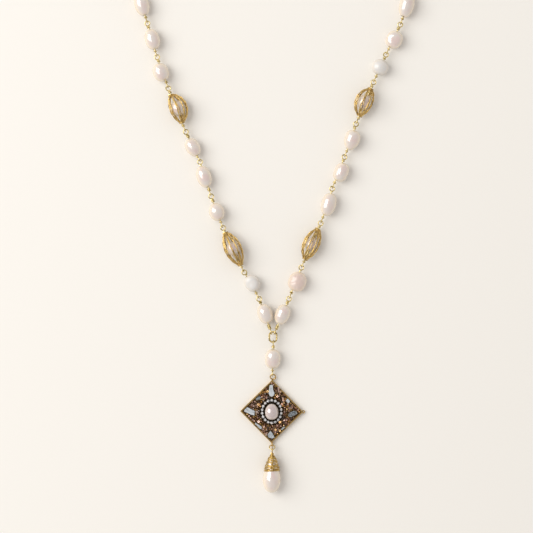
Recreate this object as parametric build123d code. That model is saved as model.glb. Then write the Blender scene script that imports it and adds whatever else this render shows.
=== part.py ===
from build123d import *
import os
from math import asin, atan2, cos, hypot, pi, radians, sin
from typing import NamedTuple

# A lavaliere necklace laid out flat: a closed strand of baroque pearls and openwork bead cages on
# wrapped wire links, and below its junction a pearl link, a square beaded pendant and a pear drop.
# Millimetres, +Z up from the surface, +Y towards the clasp.

# Wire links
WIRE = 0.6  # diameter of the link wire
LOOP = 2.4  # centre-line diameter of a loop
NECK = 1.8  # outer diameter of the wrapped neck beside a bead
SLACK = 1.4  # between the centres of two interlocked loops
SEAT = 0.15  # that a neck is let into its loop, past the middle of the wire
NECK_GAP = 0.2  # from a neck to its bead
BORE = 0.9  # drilled through each pearl
STRAND_HEIGHT = 3.9  # of the link wire above the surface

# Bead cages
CAGE_WIRE = 0.65
CAGE_WIRES = 9
CAGE_TWIST = 45  # degrees from one collar to the other
COLLAR = 3.5  # diameter
COLLAR_LENGTH = 1.2
COLLAR_BORE = 1.0
CAGE_LIFT = 0.1  # room under a cage for the twist of its wires
CAGE_ROOM = 0.75  # between the cage wires and the pearl inside, all round
HELD_DRIFT = 0.6  # share of the cage's own offset that its pearl follows
HELD_LENGTH = 1.12  # of the pearl inside, in its own widths

# Hidden clasp
CLASP_SPAN = 17.5
CLASP_DIAMETER = 7.8
CLASP_LENGTH = 9.5
CLASP_ROUND = 2.0
CLASP_LAP = 1.0  # of a neck inside the barrel

# Junction ring and pearl link below it
JUNCTION_Y = -3.5
JUNCTION_WIDTH = 4.6  # outside
JUNCTION_LENGTH = 6.1  # outside
JUNCTION_WIRE = 0.9
JUNCTION_HEIGHT = 4.1
LINK_TOP = (0.15, -6.35, 4.25)  # centre of the upper loop
LINK_FOOT = (-0.3, -21.95, 2.75)  # centre of the lower loop
LINK_PEARL_Y = -14.5

# Pendant tray, hung by a corner
TRAY_X = -0.65
TRAY_Y = -40.9
TRAY_TURN = -0.7  # degrees
TRAY_SIDE = 22.3
TRAY_CORNER = 0.3
PLATE = 0.9
RIM = 0.55
RIM_TOP = 2.1
BED_TOP = 2.2
FIT = 0.12  # gap between pieces set in the tray
CUP_WIDTH = 7.2
CUP_LENGTH = 8.5
CUP_WALL = 0.3
CUP_TOP = 2.4
CUP_FLOOR = 1.2
HALO_STONES = 18
STONE_FACETS = 8  # round the girdle, above and again below
HALO_WIDTH = 9.6  # through the stones' centres
HALO_LENGTH = 11.3
HALO_TOP = 2.1
HALO_BORDER = 1.95  # width of the metal band that holds the stones
STONE = 1.55  # girdle diameter
STONE_TABLE = 0.9
STONE_CULET = 0.3
STONE_SOCKET = 1.67
STONE_SEAT = 1.5  # height of the culet
STONE_GIRDLE = (0.7, 0.82)  # its two edges above the culet
STONE_HEIGHT = 1.15
CENTRE_PEARL = (6.7, 8.0, 5.6)  # width, length, height
CHIP_TOP = 2.9
CHIP_LEAN = 0.12  # that a chip's sides lean in, from bottom to top

# Rings of the tray and the ring under it
TOP_RING = 2.7  # centre-line diameter
TOP_RING_WIRE = 0.64
TOP_RING_AT = (0.65, 17.4, 2.0)  # from the middle of the tray, as are the next four
TOP_RING_TILT = 22
SIDE_RING = 1.2
SIDE_RING_WIRE = 0.45
SIDE_RING_AT = (15.9, -0.2, 1.1)
FOOT_RING_AT = (0.2, -16.45, 1.75)
TOP_LUG_AT = (0.4, 15.6, 1.5)
FOOT_LUG_AT = (0.1, -15.6, 1.6)
LUG = (0.9, 0.9, 0.8)
JUMP_RING = 2.7
JUMP_RING_AT = (-0.45, -58.75, 2.925)
JUMP_RING_TILT = -40.4

# Drop
DROP_LOOP_AT = (-0.35, -60.18, 3.83)
DROP_TIP = (-0.75, -81.25)
DROP_RISE = 2.5  # degrees that its axis climbs away from the loop
DROP_LENGTH = 17.7
CAP_START = 2.2  # from the loop's centre to the first turn
CAP_TURNS = 6
CAP_WALL = 0.22
CAP_RIDGE = 0.3
PIN_AT = 1.7  # from the pearl's drilled end

SHOULDER = 0.7  # share of a pearl's half length where its fullness is given
PLACES = 3  # decimals kept in a worked-out place
CLOSE_ENOUGH = 1e-6  # of a worked-out radius


class Bead(NamedTuple):
    """One link of the strand with what it carries, from the junction up."""

    kind: str
    meet_x: float  # where its upper loop meets the next link
    meet_y: float
    length: float  # along the wire
    width: float  # seen from above
    thick: float  # from the surface up
    shift: float = 0.0  # along the wire, from the middle of the link
    side: float = 0.0  # off the wire, to the left of the way up
    turn: float = 0.0  # degrees about the vertical
    low: float = 0.74  # fullness towards the lower end
    high: float = 0.74  # fullness towards the upper end


LEFT_START = (-0.75, -1.65)
LEFT_SIDE = [
    Bead("pearl", -7.2, 16.2, 10.2, 7.6, 7.5, shift=0.8, side=-0.3, low=0.77),
    Bead("pearl", -14.7, 29.4, 9.0, 7.8, 7.0, shift=0.3, side=-0.7, turn=4),
    Bead("cage", -25.3, 51.7, 18.6, 9.2, 9.2, side=-0.1, turn=-2),
    Bead("pearl", -31.2, 67.5, 9.4, 8.0, 7.6, shift=-0.5, side=0.1, high=0.7),
    Bead("pearl", -36.7, 84.7, 11.4, 7.5, 7.4, shift=0.7, side=0.4),
    Bead("pearl", -43.9, 99.7, 9.8, 7.3, 7.2, shift=-0.9, side=0.2, turn=4, low=0.7, high=0.78),
    Bead("cage", -52.6, 121.5, 15.7, 9.7, 9.4, side=-1.2, turn=-2),
    Bead("pearl", -58.2, 137.1, 9.5, 8.0, 7.6, shift=-0.2, side=0.8, low=0.77, high=0.77),
    Bead("pearl", -63.0, 153.9, 10.7, 7.6, 7.5, shift=-0.2, side=-0.2, low=0.77),
    Bead("pearl", -68.3, 171.8, 11.9, 7.5, 7.4),
]
RIGHT_START = (0.75, -1.65)
RIGHT_SIDE = [
    Bead("pearl", 8.2, 16.2, 10.5, 7.6, 7.4, shift=0.5, high=0.77),
    Bead("pearl", 14.4, 31.9, 10.3, 9.4, 7.2, shift=0.5, side=-0.8, turn=2, low=0.8),
    Bead("cage", 24.1, 54.0, 17.3, 8.9, 8.9, side=0.1),
    Bead("pearl", 29.8, 71.3, 12.0, 7.6, 7.4, shift=0.4, side=-0.8, turn=3, high=0.77),
    Bead("pearl", 36.0, 87.1, 10.0, 7.5, 7.4, shift=0.1, side=-1.3, turn=-2, low=0.8, high=0.8),
    Bead("pearl", 41.7, 103.6, 10.5, 7.9, 7.6, shift=-0.2, side=-0.7, low=0.62, high=0.84),
    Bead("cage", 50.5, 124.5, 15.4, 9.5, 9.3, shift=-0.2, side=0.6, turn=-3),
    Bead("pearl", 56.8, 138.3, 8.1, 8.5, 7.4, side=0.1, turn=3),
    Bead("pearl", 63.9, 153.3, 9.4, 8.5, 7.0, shift=-0.4, side=-0.5),
    Bead("pearl", 69.8, 171.3, 12.6, 7.7, 7.5, shift=0.1, turn=3),
]
# The stretch that runs round to the clasp, the same on both sides; its places are worked out below
HIDDEN_GAP = 6.9  # wire shown between two beads
HIDDEN_SIDE = [
    Bead("cage", 0, 0, 16.8, 9.4, 9.2),
    Bead("pearl", 0, 0, 10.2, 7.8, 7.5),
    Bead("pearl", 0, 0, 9.6, 7.6, 7.4),
    Bead("pearl", 0, 0, 10.8, 7.7, 7.5),
    Bead("cage", 0, 0, 16.2, 9.5, 9.3),
    Bead("pearl", 0, 0, 9.9, 7.9, 7.6),
    Bead("pearl", 0, 0, 10.4, 7.6, 7.4),
]
LINK_PEARL = Bead("pearl", 0, 0, 10.0, 7.9, 6.8, low=0.8, high=0.8)
CENTRE_STONE_FULLNESS = (0.8, 0.68)  # lower and upper end of the middle pearl

# Outlines of the stone chips from the middle of the tray, each counter-clockwise from its lowest corner
STONE_CHIPS = {
    "upper_pin": [(0.1, 7.3), (1.3, 8.2), (1.5, 9.3), (0.8, 10.9), (0.5, 13.6), (-1.1, 13.2),
                  (-1.45, 10.9), (-1.6, 9.0), (-1.0, 7.7)],
    "upper_left": [(-7.6, 5.4), (-5.7, 5.9), (-5.35, 7.4), (-6.35, 8.1), (-8.1, 6.6)],
    "left_bar": [(-8.6, -2.1), (-8.35, 0.4), (-12.2, 2.3), (-13.3, 1.3), (-14.0, 0.1), (-10.4, -1.6)],
    "upper_right": [(8.15, 3.9), (9.15, 4.7), (9.2, 5.5), (8.0, 6.7), (6.9, 5.6)],
    "right_leaf": [(9.65, -2.9), (11.65, -1.9), (13.0, -1.0), (12.4, 0.2), (11.1, 0.5), (9.1, -0.4),
                   (8.1, -1.6), (8.3, -2.6)],
    "lower_left": [(-6.2, -8.5), (-5.0, -9.1), (-4.8, -7.6), (-8.1, -5.4), (-8.5, -6.2)],
    "lower_middle": [(1.6, -13.1), (0.65, -11.1), (-0.6, -9.4), (-2.1, -11.4), (-1.85, -12.9),
                     (0.15, -13.6)],
    "lower_right": [(5.1, -9.4), (5.9, -8.8), (6.9, -7.7), (5.9, -7.4), (4.4, -9.0)],
}

# Half profile of the drop from its drilled end: distance along its axis, radius
DROP_NECK = [(0, 1.5), (3.0, 2.75), (7.0, 3.72)]  # the stretch inside the cap, one arc
DROP_BELLY = (10.9, 4.45)
DROP_FOOT = [(14.9, 3.75), (DROP_LENGTH, 0)]


def rod(start, end, radius):
    """Round bar along +X of the frame it is made in, from x=start to x=end."""
    return Pos((start + end) / 2, 0, 0) * Rot(0, 90, 0) * Cylinder(radius, end - start)


def upright_ring(diameter, wire):
    """Ring that stands in the XZ plane."""
    return Rot(90, 0, 0) * Torus(diameter / 2, wire / 2)


def pearl_body(bead, wire_side=None, wire_rise=0.0):
    """Pearl about its own middle, drilled where the wire passes: beside its axis and above it."""
    half, radius = bead.length / 2, bead.width / 2
    low = Spline((-half, 0), (-half * SHOULDER, radius * bead.low), (0, radius), tangents=[(0, 1), (1, 0)])
    high = Spline((0, radius), (half * SHOULDER, radius * bead.high), (half, 0),
                  tangents=[(1, 0), (0, -1)])
    body = revolve(make_face([low, high, Line((half, 0), (-half, 0))]), Axis.X)
    flat = bead.thick / bead.width
    if wire_side is not None:
        bore = Rot(0, 0, -bead.turn) * Pos(0, wire_side, wire_rise / flat)
        body -= bore * rod(-bead.length, bead.length, BORE / 2)
    return Rot(0, 0, bead.turn) * scale(body, by=(1, 1, flat))


def link_wire(foot, head, bead_start, bead_end, flat_head=True):
    """Loops about x=foot and x=head, two wrapped necks and the core between them, as one solid."""
    start, end = foot + LOOP / 2 + SEAT, head - LOOP / 2 - SEAT
    stem = revolve(make_face(Polyline(
        (start, 0), (start, NECK / 2), (bead_start - NECK_GAP, NECK / 2), (bead_start - NECK_GAP, WIRE / 2),
        (bead_end + NECK_GAP, WIRE / 2), (bead_end + NECK_GAP, NECK / 2), (end, NECK / 2), (end, 0),
        close=True)), Axis.X)
    upper = Torus(LOOP / 2, WIRE / 2) if flat_head else upright_ring(LOOP, WIRE)
    return stem + Pos(foot, 0, 0) * upright_ring(LOOP, WIRE) + Pos(head, 0, 0) * upper


def bent_wire(start, middle, end):
    """Cage wire along the circular arc through three points."""
    arc = Edge.make_three_point_arc(start, middle, end)
    return sweep(Plane(origin=arc @ 0, z_dir=arc % 0) * Circle(CAGE_WIRE / 2), path=arc)


def cage_body(bead, rise):
    """Bent wires from collar to collar about the link wire; rise is the cage's middle above it."""
    reach = bead.length / 2
    collars = (rod(-reach, COLLAR_LENGTH - reach, COLLAR / 2)
               + rod(reach - COLLAR_LENGTH, reach, COLLAR / 2))
    foot_radius = COLLAR / 2 - CAGE_WIRE
    foot_x = reach - COLLAR_LENGTH / 2
    wires = []
    for number in range(CAGE_WIRES):
        start = radians(360 * number / CAGE_WIRES - CAGE_TWIST / 2)
        middle, end = start + radians(CAGE_TWIST / 2), start + radians(CAGE_TWIST)
        wires.append(bent_wire(
            (-foot_x, foot_radius * cos(start), foot_radius * sin(start)),
            (0, bead.side + (bead.width - CAGE_WIRE) / 2 * cos(middle),
             rise + (bead.thick - CAGE_WIRE) / 2 * sin(middle)),
            (foot_x, foot_radius * cos(end), foot_radius * sin(end))))
    return collars + wires - Rot(0, 0, -bead.turn) * rod(-bead.length, bead.length, COLLAR_BORE / 2)


def held_pearl(bead):
    """Pearl that sits inside a cage."""
    width = bead.width - 2 * (CAGE_WIRE + CAGE_ROOM)
    return bead._replace(kind="pearl", length=width * HELD_LENGTH, width=width,
                         thick=bead.thick - 2 * (CAGE_WIRE + CAGE_ROOM))


def circle_chain(first, last, spans):
    """Meeting points that take the spans end to end round one circle, the long way from first to last."""
    gap = hypot(last[0] - first[0], last[1] - first[1])

    def spare_angle(radius):
        return 2 * pi - 2 * sum(asin(chord / 2 / radius) for chord in [gap, *spans])

    low, high = gap / 2, 2 * gap
    while high - low > CLOSE_ENOUGH:
        middle = (low + high) / 2
        low, high = (middle, high) if spare_angle(middle) < 0 else (low, middle)
    radius = high
    rise = (radius ** 2 - gap ** 2 / 4) ** 0.5
    across = ((last[0] - first[0]) / gap, (last[1] - first[1]) / gap)
    centre = ((first[0] + last[0]) / 2 - across[1] * rise, (first[1] + last[1]) / 2 + across[0] * rise)
    angle = atan2(first[1] - centre[1], first[0] - centre[0])
    points = [first]
    for chord in spans:
        angle -= 2 * asin(chord / 2 / radius)
        points.append((round(centre[0] + radius * cos(angle), PLACES),
                       round(centre[1] + radius * sin(angle), PLACES)))
    return points[:-1] + [last]


def link_frame(start, end):
    """Frame at the middle of a link, X along its wire and Z up."""
    middle = ((start[0] + end[0]) / 2, (start[1] + end[1]) / 2, STRAND_HEIGHT)
    return Plane(origin=middle, x_dir=(end[0] - start[0], end[1] - start[1], 0), z_dir=(0, 0, 1)).location


def strand(parts, links):
    """All beads, cages, held pearls and link wires of both sides, and the clasp."""
    half = [bead.length + HIDDEN_GAP for bead in HIDDEN_SIDE]
    visible = [[(bead.meet_x, bead.meet_y) for bead in side] for side in (LEFT_SIDE, RIGHT_SIDE)]
    round_back = circle_chain(visible[0][-1], visible[1][-1], half + [CLASP_SPAN] + half[::-1])
    turn_off = len(HIDDEN_SIDE)
    left = [LEFT_START] + visible[0] + round_back[1:turn_off + 1]
    right = [RIGHT_START] + visible[1] + round_back[-2:turn_off:-1]
    counts = {"pearl": 0, "cage": 0}
    for places, beads in ((left, LEFT_SIDE + HIDDEN_SIDE), (right, RIGHT_SIDE + HIDDEN_SIDE)):
        for number, bead in enumerate(beads):
            counts[bead.kind] += 1
            name = f"{bead.kind}_{counts[bead.kind]:02d}"
            string_bead(parts, links[(number + (beads[0] is RIGHT_SIDE[0])) % 2], name, bead,
                        places[number], places[number + 1])
    parts["clasp"] = link_frame(left[-1], right[-1]) * clasp_body()


def string_bead(parts, wires, name, bead, start, end):
    """One bead or cage at its place, and its link wire."""
    frame = link_frame(start, end)
    span = hypot(end[0] - start[0], end[1] - start[1])
    rise = bead.thick / 2 - STRAND_HEIGHT + (CAGE_LIFT if bead.kind == "cage" else 0)
    first, last = bead.shift - bead.length / 2, bead.shift + bead.length / 2
    wires.append(frame * link_wire((SLACK - span) / 2, (span - SLACK) / 2, first, last))
    if bead.kind == "cage":
        parts[name] = frame * Pos(bead.shift, 0, 0) * Rot(0, 0, bead.turn) * cage_body(bead, rise)
        held = held_pearl(bead)
        side, lift = bead.side * HELD_DRIFT, rise * HELD_DRIFT
        parts[name.replace("cage", "cage_pearl")] = (frame * Pos(bead.shift, side, lift)
                                                     * pearl_body(held, -side, -lift))
    else:
        parts[name] = frame * Pos(bead.shift, bead.side, rise) * pearl_body(bead, -bead.side, -rise)


def clasp_body():
    """Plain barrel clasp with an upright eye at each end."""
    barrel = revolve(fillet(Rectangle(CLASP_LENGTH, CLASP_DIAMETER).vertices(), CLASP_ROUND)
                     & Pos(0, CLASP_DIAMETER / 2) * Rectangle(CLASP_LENGTH, CLASP_DIAMETER), Axis.X)
    eye = (CLASP_SPAN - SLACK) / 2
    eyes = Pos(-eye, 0, 0) * upright_ring(LOOP, WIRE) + Pos(eye, 0, 0) * upright_ring(LOOP, WIRE)
    necks = (rod(LOOP / 2 + SEAT - eye, CLASP_LAP - CLASP_LENGTH / 2, NECK / 2)
             + rod(CLASP_LENGTH / 2 - CLASP_LAP, eye - LOOP / 2 - SEAT, NECK / 2))
    return barrel + eyes + necks


def pearl_link(parts):
    """Junction ring, and the pearl on its own wrapped link below it."""
    path = Rot(0, 0, 90) * SlotOverall(JUNCTION_LENGTH - JUNCTION_WIRE,
                                       JUNCTION_WIDTH - JUNCTION_WIRE)
    wire = path.wire()
    ring = sweep(Plane(origin=wire @ 0, z_dir=wire % 0) * Circle(JUNCTION_WIRE / 2), path=wire)
    parts["junction_ring"] = Pos(0, JUNCTION_Y, JUNCTION_HEIGHT) * ring
    foot, top = Vector(*LINK_FOOT), Vector(*LINK_TOP)
    along = (top - foot).normalized()
    left = Vector(0, 0, 1).cross(along).normalized()
    frame = Plane(origin=(foot + top) / 2, x_dir=along, z_dir=along.cross(left)).location
    reach = (top - foot).length / 2
    shift = (LINK_PEARL_Y - (LINK_FOOT[1] + LINK_TOP[1]) / 2) / along.Y
    parts["link_pearl_wire"] = frame * link_wire(-reach, reach, shift - LINK_PEARL.length / 2,
                                                 shift + LINK_PEARL.length / 2, flat_head=False)
    parts["link_pearl"] = frame * Pos(shift, 0, 0) * pearl_body(LINK_PEARL, 0.0)


def loose(shapes):
    """One node of separate solids."""
    return Compound([solid for shape in shapes for solid in shape.solids()])


def oval(width, length):
    """Oval face, longest along Y."""
    return Ellipse(width / 2, length / 2)


def standing(face, bottom, top):
    """Face raised from one height to another."""
    return Pos(0, 0, bottom) * extrude(face, top - bottom)


def chip_body(face):
    """Stone chip on the plate, its sides leaning in towards a flat top."""
    upper = offset(face, -CHIP_LEAN, kind=Kind.INTERSECTION)
    return loft([Pos(0, 0, PLATE) * face, Pos(0, 0, CHIP_TOP) * upper], ruled=True)


def chip_faces(margin):
    """Chip outlines, grown by a margin and kept inside the rim."""
    room = Rot(0, 0, 45 + TRAY_TURN) * Rectangle(*[TRAY_SIDE - 2 * RIM - 2 * FIT] * 2)
    return [offset(make_face(Polyline(*points, close=True)), margin) & room
            for points in STONE_CHIPS.values()]


def halo_places():
    """Places of the small stones, evenly round their oval."""
    path = oval(HALO_WIDTH, HALO_LENGTH).edge()
    return [path @ (number / HALO_STONES) for number in range(HALO_STONES)]


def halo_stone():
    """Small cut stone on its culet: eight facets below the girdle, eight above, and a table."""
    girdle, table, culet = (RegularPolygon(size / 2, STONE_FACETS)
                             for size in (STONE, STONE_TABLE, STONE_CULET))
    low, high = STONE_GIRDLE
    return loft([culet, Pos(0, 0, low) * girdle, Pos(0, 0, high) * girdle,
                 Pos(0, 0, STONE_HEIGHT) * table], ruled=True)


def pendant(parts):
    """Tray with its settings and rings, the bed, the chips, the halo stones and the middle pearl."""
    place = Pos(TRAY_X, TRAY_Y, 0)
    turned = Rot(0, 0, 45 + TRAY_TURN)
    outline = turned * fillet(Rectangle(TRAY_SIDE, TRAY_SIDE).vertices(), TRAY_CORNER)
    inside = turned * Rectangle(*[TRAY_SIDE - 2 * RIM] * 2)
    band = oval(HALO_WIDTH + HALO_BORDER, HALO_LENGTH + HALO_BORDER)
    cup = oval(CUP_WIDTH, CUP_LENGTH)
    cup_wall = oval(CUP_WIDTH + 2 * CUP_WALL, CUP_LENGTH + 2 * CUP_WALL)
    frame = standing(outline, 0, RIM_TOP) - standing(inside, PLATE, RIM_TOP + 1)
    frame += standing(band, PLATE / 2, HALO_TOP)
    frame += standing(cup_wall, PLATE / 2, CUP_TOP)
    frame -= standing(cup, CUP_FLOOR, CUP_TOP + 1)
    socket = Cylinder(STONE_SOCKET / 2, 2 * (HALO_TOP - STONE_SEAT))
    frame -= [Pos(spot.X, spot.Y, HALO_TOP) * socket for spot in halo_places()]
    frame += (Pos(*TOP_RING_AT) * Rot(TOP_RING_TILT, 0, 0) * Torus(TOP_RING / 2, TOP_RING_WIRE / 2))
    frame += Pos(*SIDE_RING_AT) * Torus(SIDE_RING / 2, SIDE_RING_WIRE / 2)
    frame += Pos(*FOOT_RING_AT) * Rot(0, 0, 90) * upright_ring(LOOP, WIRE)
    for lug in (TOP_LUG_AT, FOOT_LUG_AT):
        frame += Pos(*lug) * Box(*LUG)
    parts["pendant_frame"] = place * frame

    pockets = [standing(face, 0, BED_TOP + 1) for face in chip_faces(FIT)]
    bed = standing(turned * Rectangle(*[TRAY_SIDE - 2 * RIM - 2 * FIT] * 2), PLATE, BED_TOP)
    bed -= standing(oval(HALO_WIDTH + HALO_BORDER + 2 * FIT, HALO_LENGTH + HALO_BORDER + 2 * FIT),
                    0, BED_TOP + 1)
    parts["bead_bed"] = place * (bed - pockets)
    parts["stone_chips"] = place * loose([chip_body(face) for face in chip_faces(0)])
    cut = halo_stone()
    parts["halo_stones"] = place * loose([Pos(spot.X, spot.Y, STONE_SEAT) * cut
                                          for spot in halo_places()])
    width, length, height = CENTRE_PEARL
    stone = Bead("pearl", 0, 0, length, width, height, low=CENTRE_STONE_FULLNESS[0],
                 high=CENTRE_STONE_FULLNESS[1])
    parts["centre_pearl"] = place * Pos(0, 0, CUP_FLOOR + height / 2) * Rot(0, 0, 90) * pearl_body(stone)


def drop_body(growth=0.0):
    """Pear shape turned about the X axis, its neck and drilled end grown by a margin."""
    blunt, middle, shoulder = DROP_NECK
    start = (blunt[0] - growth, blunt[1] + growth / 2)
    middle, shoulder = (middle[0], middle[1] + growth), (shoulder[0], shoulder[1] + growth)
    belly = (DROP_BELLY[0], DROP_BELLY[1] + growth)
    lean = (shoulder[0] - middle[0], shoulder[1] - middle[1])
    outline = [Line((start[0], 0), start), ThreePointArc(start, middle, shoulder),
               Spline(shoulder, belly, tangents=[lean, (1, 0)]),
               Spline(belly, *DROP_FOOT, tangents=[(1, 0), (0, -1)]),
               Line(DROP_FOOT[-1], (start[0], 0))]
    return revolve(make_face(outline), Axis.X)


def neck_radius(distance):
    """Radius of the drop's neck at a distance from its drilled end, along straight steps."""
    for (start, low), (end, high) in zip(DROP_NECK, DROP_NECK[1:]):
        if distance <= end:
            break
    return low + (high - low) * (distance - start) / (end - start)


def cap_body(top):
    """Wrapped neck, ridged cone and loop of the drop's cap; the drop's drilled end is at x=top."""
    steps = [CAP_START + (top + DROP_NECK[2][0] - CAP_START) * number / CAP_TURNS
             for number in range(CAP_TURNS + 1)]
    valleys = [NECK / 2] + [neck_radius(step - top) + FIT + CAP_WALL for step in steps[1:]]
    seat = LOOP / 2 + SEAT
    outline = [Line((seat, 0), (seat, NECK / 2)), Line((seat, NECK / 2), (steps[0], valleys[0]))]
    places = list(zip(steps, valleys))
    for start, end in zip(places, places[1:]):
        lean = atan2(end[1] - start[1], end[0] - start[0])
        crest = ((start[0] + end[0]) / 2 - CAP_RIDGE * sin(lean),
                 (start[1] + end[1]) / 2 + CAP_RIDGE * cos(lean))
        outline.append(ThreePointArc(start, crest, end))
    outline += [Line(places[-1], (steps[-1], 0)), Line((steps[-1], 0), (seat, 0))]
    shell = revolve(make_face(outline), Axis.X) - Pos(top, 0, 0) * drop_body(FIT)
    pin = Pos(top + PIN_AT, 0, 0) * Rot(90, 0, 0)
    return shell + upright_ring(LOOP, WIRE) + pin * Cylinder(WIRE / 2, 2 * (neck_radius(PIN_AT) + CAP_WALL))


def drop(parts):
    """Jump ring, wire-wrapped cap with its loop, and the pear-shaped drop."""
    parts["jump_ring"] = Pos(*JUMP_RING_AT) * Rot(JUMP_RING_TILT, 0, 0) * Torus(JUMP_RING / 2, WIRE / 2)
    run = (DROP_TIP[0] - DROP_LOOP_AT[0], DROP_TIP[1] - DROP_LOOP_AT[1])
    rise = radians(DROP_RISE)
    along = Vector(run[0] / hypot(*run) * cos(rise), run[1] / hypot(*run) * cos(rise), sin(rise))
    frame = Plane(origin=DROP_LOOP_AT, x_dir=along,
                  z_dir=along.cross(Vector(0, 0, 1).cross(along))).location
    top = hypot(*run) / cos(rise) - DROP_LENGTH
    bore = Pos(PIN_AT, 0, 0) * Rot(90, 0, 0) * Cylinder(BORE / 2, DROP_LENGTH)
    parts["drop_pearl"] = frame * Pos(top, 0, 0) * (drop_body() - bore)
    parts["drop_cap"] = frame * cap_body(top)


def model():
    """Every node at its place, with the origin under the middle of the whole."""
    parts = {}
    links = ([], [])
    strand(parts, links)
    for letter, wires in zip("ab", links):
        parts[f"link_wire_{letter}"] = loose(wires)
    pearl_link(parts)
    pendant(parts)
    drop(parts)
    boxes = [part.bounding_box() for part in parts.values()]
    low = [min(getattr(box.min, axis) for box in boxes) for axis in "XYZ"]
    high = [max(getattr(box.max, axis) for box in boxes) for axis in "XYZ"]
    home = Pos(-(low[0] + high[0]) / 2, -(low[1] + high[1]) / 2, -low[2])
    print("whole", [round(top - bottom, PLACES) for bottom, top in zip(low, high)],
          "moved by", home.position)
    return {name: home * part for name, part in parts.items()}


os.makedirs("parts", exist_ok=True)
for node, solid in model().items():
    export_step(solid, f"parts/{node}.step")
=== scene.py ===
"""A lavaliere necklace laid flat: pearls and wire cages on wrapped links, a square pendant paved with
glass beads, stone chips and cut stones round a middle pearl, and a pear drop under a wound cap.

Metres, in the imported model's own frame: +Z up from the paper, +Y towards the clasp.
"""

from __future__ import annotations

import logging
import math
import random
from dataclasses import dataclass, field
from enum import Enum
from typing import Any, Iterable, Mapping

import bmesh
import bpy
import numpy as np
from mathutils import Matrix, Vector, noise
from mathutils.bvhtree import BVHTree

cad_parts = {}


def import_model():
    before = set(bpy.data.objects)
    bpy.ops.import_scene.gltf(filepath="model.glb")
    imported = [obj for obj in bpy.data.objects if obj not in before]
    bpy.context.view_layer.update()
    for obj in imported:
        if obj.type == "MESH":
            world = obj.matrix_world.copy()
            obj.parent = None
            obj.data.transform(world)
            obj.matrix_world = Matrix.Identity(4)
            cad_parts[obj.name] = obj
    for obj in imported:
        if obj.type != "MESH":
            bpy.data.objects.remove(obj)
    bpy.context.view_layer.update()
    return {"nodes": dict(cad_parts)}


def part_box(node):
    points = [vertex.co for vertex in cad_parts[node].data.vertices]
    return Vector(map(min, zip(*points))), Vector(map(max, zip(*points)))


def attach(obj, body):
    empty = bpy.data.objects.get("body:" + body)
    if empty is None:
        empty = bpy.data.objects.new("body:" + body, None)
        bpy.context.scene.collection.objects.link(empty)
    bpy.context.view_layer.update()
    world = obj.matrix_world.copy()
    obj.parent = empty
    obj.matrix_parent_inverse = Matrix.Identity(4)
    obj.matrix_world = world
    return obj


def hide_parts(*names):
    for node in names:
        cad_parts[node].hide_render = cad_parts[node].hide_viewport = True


LOG = logging.getLogger("lavaliere")
MM = 0.001
ROOT = "root"
WELD = 1e-6  # vertices nearer than this are one
NEAR_POLE = 0.0001  # radians off a pearl's axis, so that a ray there has a side
ROD_STEP = 0.3 * MM  # between the rings of a swept straight wire


def linear(code: str) -> tuple[float, float, float, float]:
    """Turns an sRGB hex colour into linear light.

    Args:
        code: the colour as "#RRGGBB".

    Returns:
        Red, green, blue and an alpha of one.
    """
    parts = (int(code[place:place + 2], 16) / 255 for place in (1, 3, 5))
    light = [c / 12.92 if c <= 0.04045 else ((c + 0.055) / 1.055) ** 2.4 for c in parts]
    return (light[0], light[1], light[2], 1.0)


def add(tree: bpy.types.NodeTree, kind: str, inputs: Mapping[Any, Any] | None = None,
        stops: Iterable[tuple[float, str]] = (), **settings: Any) -> bpy.types.Node:
    """Adds one node with its settings, and sets or links its inputs.

    Args:
        tree: the node tree it goes into.
        kind: Blender's name for the node.
        inputs: a value or an output socket for each input, by name or number.
        stops: place and hex colour of each stop of a colour ramp, lowest first.
        settings: the node's own properties.

    Returns:
        The new node.
    """
    node = tree.nodes.new(kind)
    for name, value in settings.items():
        setattr(node, name, value)
    for number, (place, code) in enumerate(stops):
        elements = node.color_ramp.elements
        stop = elements[number] if number < 2 else elements.new(place)
        stop.position, stop.color = place, linear(code)
    for name, value in (inputs or {}).items():
        if isinstance(value, bpy.types.NodeSocket):
            tree.links.new(value, node.inputs[name])
        else:
            node.inputs[name].default_value = value
    return node


def blank_material(name: str) -> tuple[bpy.types.Material, bpy.types.NodeTree]:
    """Makes an empty node material and returns it with its tree."""
    material = bpy.data.materials.new(name)
    material.use_nodes = True
    material.node_tree.nodes.clear()
    return material, material.node_tree


def close_material(tree: bpy.types.NodeTree, shader: bpy.types.Node) -> None:
    """Links a shader to the material's output."""
    add(tree, "ShaderNodeOutputMaterial", {"Surface": shader.outputs[0]})


class Skin(Enum):
    """How a pearl's surface grew."""

    EVEN = "even"
    WAVY = "wavy"
    WRINKLED = "wrinkled"
    FLAT = "flat topped"
    RINGED = "ringed"


@dataclass(frozen=True)
class Relief:
    """Depths of a skin's relief, in millimetres."""

    swell: float
    fine: float = 0.0
    fold: float = 0.0
    hollow: float = 0.0  # of a flat on top
    ring: float = 0.0  # of a groove round the top


RELIEFS = {
    Skin.EVEN: Relief(0.04),
    Skin.WAVY: Relief(0.12, 0.05),
    Skin.WRINKLED: Relief(0.12, 0.1, fold=0.16),
    Skin.FLAT: Relief(0.12, 0.05, hollow=0.5),
    Skin.RINGED: Relief(0.12, 0.05, ring=0.09)}


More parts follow.
